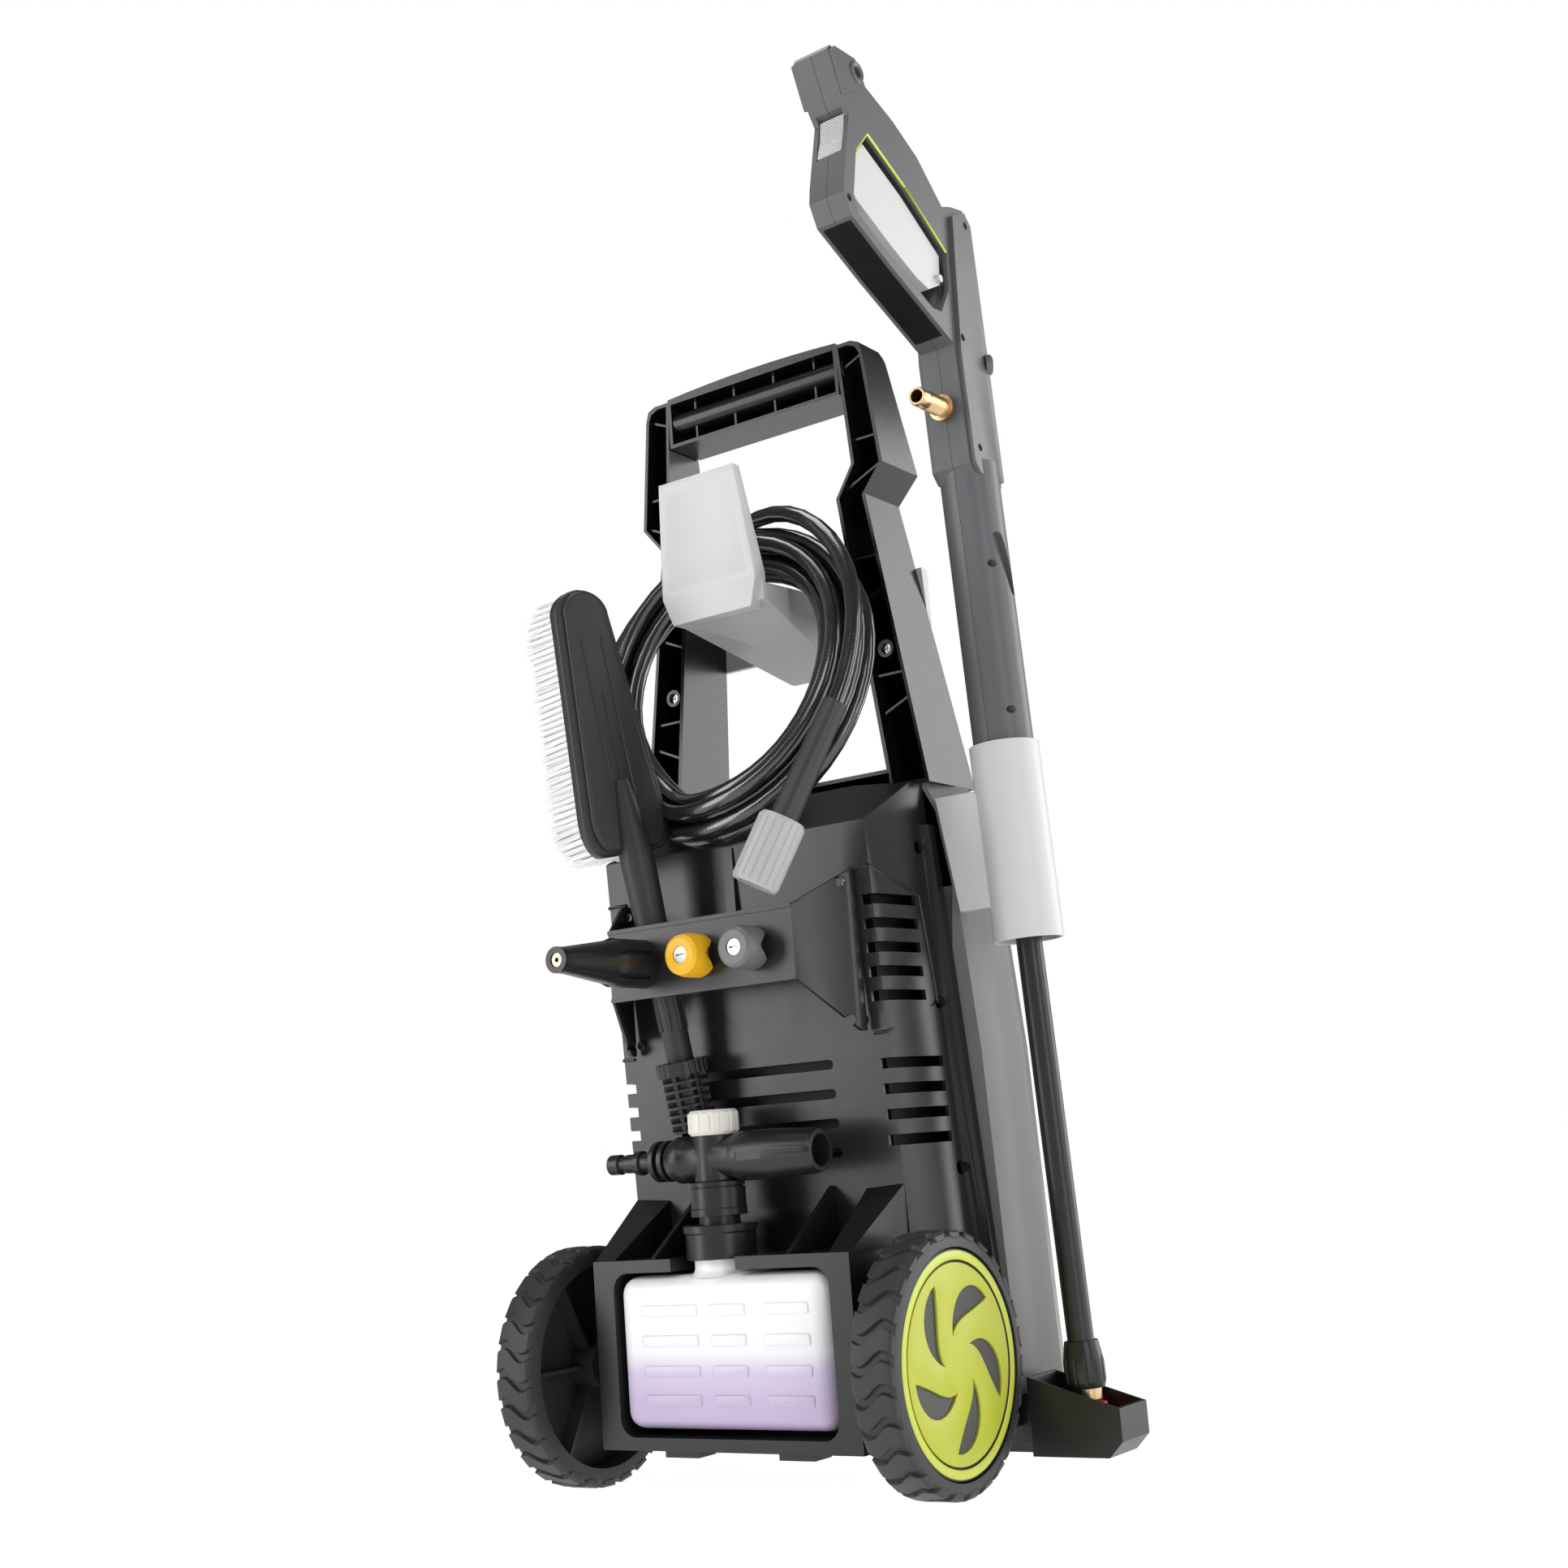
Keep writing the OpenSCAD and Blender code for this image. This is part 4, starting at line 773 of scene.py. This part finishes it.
def makeBristles():
    turned = brushTurn()
    roll = random.Random(7)
    bm = bmesh.new()
    outline = [(-w + 4.5, s) for s, w in ((s, headWidth(s)) for s in range(211, 406, 8))]
    outline += [(-y, s) for y, s in reversed(outline)]
    seat = headTurn() @ Matrix.Translation((0, 0, brush["face"] * mm))
    plate(bm, outline, brush["tip"] - brush["face"] - 3, seat)
    step = brush["pitch"]
    for row in range(brush["rows"]):
        s = brush["firstRow"] + row * step
        width = headWidth(s) - 2.6
        count = int(2 * width / step)
        for column in range(count + 1):
            y = -width + column * 2 * width / max(1, count)
            leanAcross = 2 * y / 38 + 40 * roll.uniform(-0.02, 0.02)
            leanAlong = 2 * (s - 308) / 100 + 40 * roll.uniform(-0.02, 0.02)
            for _ in range(brush["strands"]):
                spin, off = roll.uniform(0, 6.28), math.sqrt(roll.random())
                across, along = off * math.cos(spin), off * math.sin(spin)
                foot = Vector((brush["face"] - 1, y + 1.2 * across, s + 1.2 * along))
                reach = brush["tip"] - roll.random() * 1.8
                tip = Vector((reach, y + brush["spread"] * across + leanAcross,
                              s + brush["spread"] * along + leanAlong))
                addStrand(bm, foot, tip, turned)
    faceOut(bm)
    finishPiece(bm, "bristle_tufts", bristleFinish(), "brush_body", ("brush_bristles",),
                smooth=60)


def bead(bm, points, radius, turned, sides=6):
    # a thin raised line through points in mm
    rings = []
    for k, point in enumerate(points):
        way = (points[min(k + 1, len(points) - 1)] - points[max(k - 1, 0)]).normalized()
        across = way.orthogonal().normalized()
        other = way.cross(across)
        turns = [2 * math.pi * n / sides for n in range(sides)]
        corners = [point + radius * (math.cos(a) * across + math.sin(a) * other) for a in turns]
        rings.append([bm.verts.new(turned @ (mm * corner)) for corner in corners])
    for a, b in zip(rings, rings[1:]):
        # rings start at unlike places, so each is matched to the nearest corner of the one before
        shift = min(range(sides), key=lambda n: (b[n].co - a[0].co).length)
        b[:] = b[shift:] + b[:shift]
        for n in range(sides):
            bm.faces.new((a[n], a[(n + 1) % sides], b[(n + 1) % sides], b[n]))
    bm.faces.new(rings[0])
    bm.faces.new(rings[-1])


def headOutline(inset):
    # half an outline from the heel to the tip, then back down the other side
    side = [(-(headWidth(s) - inset), s) for s in range(234, 389, 14)]
    heel = [(-(38 - inset - 13 * (1 - math.cos(a))), 231 + inset * 0.4 - 25 * math.sin(a))
            for a in (math.radians(15 * k) for k in range(6, 0, -1))]
    crown = [(-(24 - inset) * math.cos(a), 391 + (20.6 - inset * 0.4) * math.sin(a))
             for a in (math.radians(9 * k) for k in range(1, 10))]
    half = heel + side + crown
    return half + [(0, 411.8 - inset * 0.4)] + [(-y, s) for y, s in reversed(half)]


def makeBrushBack():
    turned = brushTurn()
    bm = bmesh.new()
    for low, high, inset, rounding in ((2.2, 13.9, 0.2, 3.0), (-1.9, 6, 6, 2.6)):
        made = plate(bm, headOutline(inset), high - low, headTurn() @ Matrix.Translation((0, 0, low * mm)))
        faceOut(bm)
        rims = {e for v in made if v.is_valid for e in v.link_edges}
        roundOff(bm, [e for e in sharpEdges(bm, 60) if e in rims], rounding * mm, 4)
    lathe(bm, brush["stem"], turned, 40)
    for k in range(8):
        flute = turned @ Matrix.Rotation(math.radians(45 * k), 4, "Z")
        made = block(bm, (9.6, -1.1, 70), (11.4, 1.1, 190), flute)
        roundOff(bm, list({e for v in made for e in v.link_edges}), 0.7 * mm, 2)
    faceOut(bm)
    finishPiece(bm, "brush_head", brushBlack, "brush_body", ("brush_back",), smooth=50)
    bm = bmesh.new()
    for y in (-9, 0, 9):
        low, high = (250, 372) if y else (262, 330)
        bead(bm, [Vector((-2.1, y, s)) for s in (low, (low + high) / 2, high)], 0.8, turned)
    faceOut(bm)
    finishPiece(bm, "brush_lines", brushBlack, "brush_body", smooth=60)


makeBristles()
makeBrushBack()
print("brush made")


# hook: soft edges and a shallow panel on the paddle
hook = {"paddle": -18, "round": 5.0, "panel": [(5, 0), (3, -1.6)]}


def makeHook():
    bm = copyNode("hose_hook")
    bm.normal_update()
    behind = (middle.y + hook["paddle"]) * mm
    rim = [e for e in sharpEdges(bm, 18) if all(v.co.y > behind for v in e.verts)]
    roundOff(bm, rim, hook["round"] * mm, 5)
    bm.normal_update()
    outer = [f for f in bm.faces if f.normal.y > 0.6 and f.calc_center_median().y > behind]
    front = [max(outer, key=lambda f: f.calc_area())]
    for thickness, depth in hook["panel"]:
        bmesh.ops.inset_region(bm, faces=front, thickness=thickness * mm, depth=depth * mm,
                               use_boundary=True, use_even_offset=True)
    finishPiece(bm, "hook_shown", lightGrey, "machine", ("hose_hook",), smooth=48)


makeHook()


# gun details: ribs on the grip, lime edge, blank label, round buttons, thread on the inlet
gun = {"ribs": [(116, 983.5), (77, 969.3), (46, 951.3), (17, 922.5)], "ribPitch": 3.0,
       "edge": [(18, 883), (71, 918), (118, 943), (137, 923)], "edgeOut": 14.6,
       "label": [(151, 864.9), (105, 842), (58, 821), (36, 811)], "labelHalf": 11.5, "inlet": 758}
# place, axis, radius, hole and height of the cap's eye and of the barrel's button
gunRings = [((18, 128, 987), (1, 0, 0), 8.4, 4.3, 1.8), ((18.2, -20.5, 800), (0.76, -0.65, 0), 8.2, 0, 2.6)]


def alongLine(points, pitch):
    for (y0, s0), (y1, s1) in zip(points, points[1:]):
        length = math.hypot(y1 - y0, s1 - s0)
        for k in range(int(length / pitch)):
            t = (k + 0.5) * pitch / length
            yield y0 + (y1 - y0) * t, s0 + (s1 - s0) * t, math.atan2(s1 - s0, y1 - y0)


def makeGripRibs(turned):
    bm = bmesh.new()
    for k, (y, s, angle) in enumerate(alongLine(gun["ribs"], gun["ribPitch"])):
        swell = 0.5 + 0.7 * abs(math.sin(k * 0.42))
        rib = turned @ Matrix.Translation(mm * Vector((0, y, s))) @ Matrix.Rotation(angle, 4, "X")
        made = block(bm, (-13.4, -0.8, -1.5), (13.4, 0.8, swell), rib)
        roundOff(bm, list({e for v in made for e in v.link_edges}), 0.4 * mm, 2)
    faceOut(bm)
    finishPiece(bm, "grip_ribs", gunGrey, "gun_body", smooth=40)


def makeGripEdge(turned):
    bm = bmesh.new()
    for x in (-gun["edgeOut"], gun["edgeOut"]):
        bead(bm, [Vector((x, y, s)) for y, s in gun["edge"]], 1.1, turned)
    faceOut(bm)
    finishPiece(bm, "grip_edge", limeEdge, "gun_body", smooth=60)


def makeLabel(turned):
    # a thin plate along each straight stretch of the guard
    bm = bmesh.new()
    for (y0, s0), (y1, s1) in zip(gun["label"], gun["label"][1:]):
        length = math.hypot(y1 - y0, s1 - s0)
        slope = Matrix.Rotation(math.atan2(s1 - s0, y1 - y0), 4, "X")
        low, high = (-gun["labelHalf"], 0, -0.5), (gun["labelHalf"], length, 0.8)
        block(bm, low, high, turned @ Matrix.Translation(mm * Vector((0, y0, s0))) @ slope)
    faceOut(bm)
    finishPiece(bm, "blank_label", labelBlack, "gun_body", smooth=30)


def makeGunButtons(turned):
    bm = bmesh.new()
    for side in (-1, 1):
        for (x, y, s), axis, outer, hole, proud in gunRings:
            way = Vector((side * axis[0], axis[1], axis[2]))
            seat = turned @ Matrix.Translation(mm * Vector((side * x, y, s)))
            seat = seat @ way.to_track_quat("Z", "Y").to_matrix().to_4x4()
            profile = [(hole, -3), (outer, -3), (outer, proud * 0.4), (outer - 1.2, proud),
                       (hole + 1.2, proud), (hole, proud * 0.5)]
            lathe(bm, profile + ([(hole, -3)] if hole else []), seat, 36)
    faceOut(bm)
    finishPiece(bm, "gun_buttons", gunGrey, "gun_body", smooth=40)


def thread(low, high, root, crest, pitch):
    profile, h = [(root, low)], low
    while h + pitch < high:
        profile += [(root, h + 0.25 * pitch), (crest, h + 0.5 * pitch), (root, h + 0.9 * pitch)]
        h += pitch
    return profile + [(root, high)]


def makeInlet():
    bm = bmesh.new()
    seat = Matrix.Translation((0, 0, gun["inlet"] * mm)) @ Matrix.Rotation(math.radians(-90), 4, "X")
    root = [(5, 12), (7.95, 12), (7.95, 28), (10, 28.4), (10, 30.8), (7.2, 31)]
    mouth = [(7.1, 57), (7.1, 65), (6.6, 66), (5, 66), (5, 12)]
    lathe(bm, root + thread(34, 55, 6.6, 7.5, 2.1) + mouth, lanceTurn() @ seat, 40)
    faceOut(bm)
    finishPiece(bm, "inlet_thread", brass, "gun_body", ("gun_inlet",), smooth=28)


for make in (makeGripRibs, makeGripEdge, makeGunButtons, makeLabel):
    make(lanceTurn())
makeInlet()
print("gun details made")


# a near-black block behind the vents as painted shade, and the raised rim round the side vents
casing = {"foot": 33, "height": 434, "rearFoot": -37, "rearLean": 24, "rearHalf": 121, "sideOut": 20,
          "sideTaper": 14.5, "seamFoot": -104, "seamLean": 14, "seamStep": 22}
rimPath = [(-40, 423.4), (-68, 413), (-73, 372), (-77, 335), (-45, 323.8)]  # (y, z) down the side face


def tall(z):
    return (z - casing["foot"]) / casing["height"]


def rearY(z):
    return casing["rearFoot"] + casing["rearLean"] * tall(z)


def makeVentShade():
    bm = bmesh.new()
    # a dark block inside each row of vents: painted shade, not a part of the casing
    for low, high, back in ((224, 306, -35), (332, 418, -32)):
        block(bm, (-110, -92, low), (110, back, high), Matrix.Translation(middle * mm))
    faceOut(bm)
    finishPiece(bm, "vent_shade_block", ventShadeBlack, "machine", smooth=30)


def sideX(y, z):
    # the side face's distance from the middle, at a place between the corner and the joint
    half, corner = casing["rearHalf"], rearY(z)
    edge = half + casing["sideOut"] - casing["sideTaper"] * tall(z)
    step = casing["seamFoot"] + casing["seamLean"] * tall(z) + casing["seamStep"]
    return edge if y < step else half + (edge - half) * (corner - y) / (corner - step)


def makeRims():
    bm = bmesh.new()
    for side in (-1, 1):
        path = [(104, rearY(433) + 0.2, 433), (casing["rearHalf"], rearY(433) + 0.1, 433)]
        path += [(sideX(y, z), y, z) for y, z in rimPath]
        path += [(casing["rearHalf"], rearY(314) + 0.1, 314), (110, rearY(314) + 0.2, 314)]
        line = [Vector((side * (x + 0.2), y, z)) for x, y, z in path]
        bead(bm, line, 1.5, Matrix.Translation(middle * mm))
    faceOut(bm)
    finishPiece(bm, "vent_rims", casingBlack, "machine", smooth=60)


makeVentShade()
makeRims()
print("casing details made")
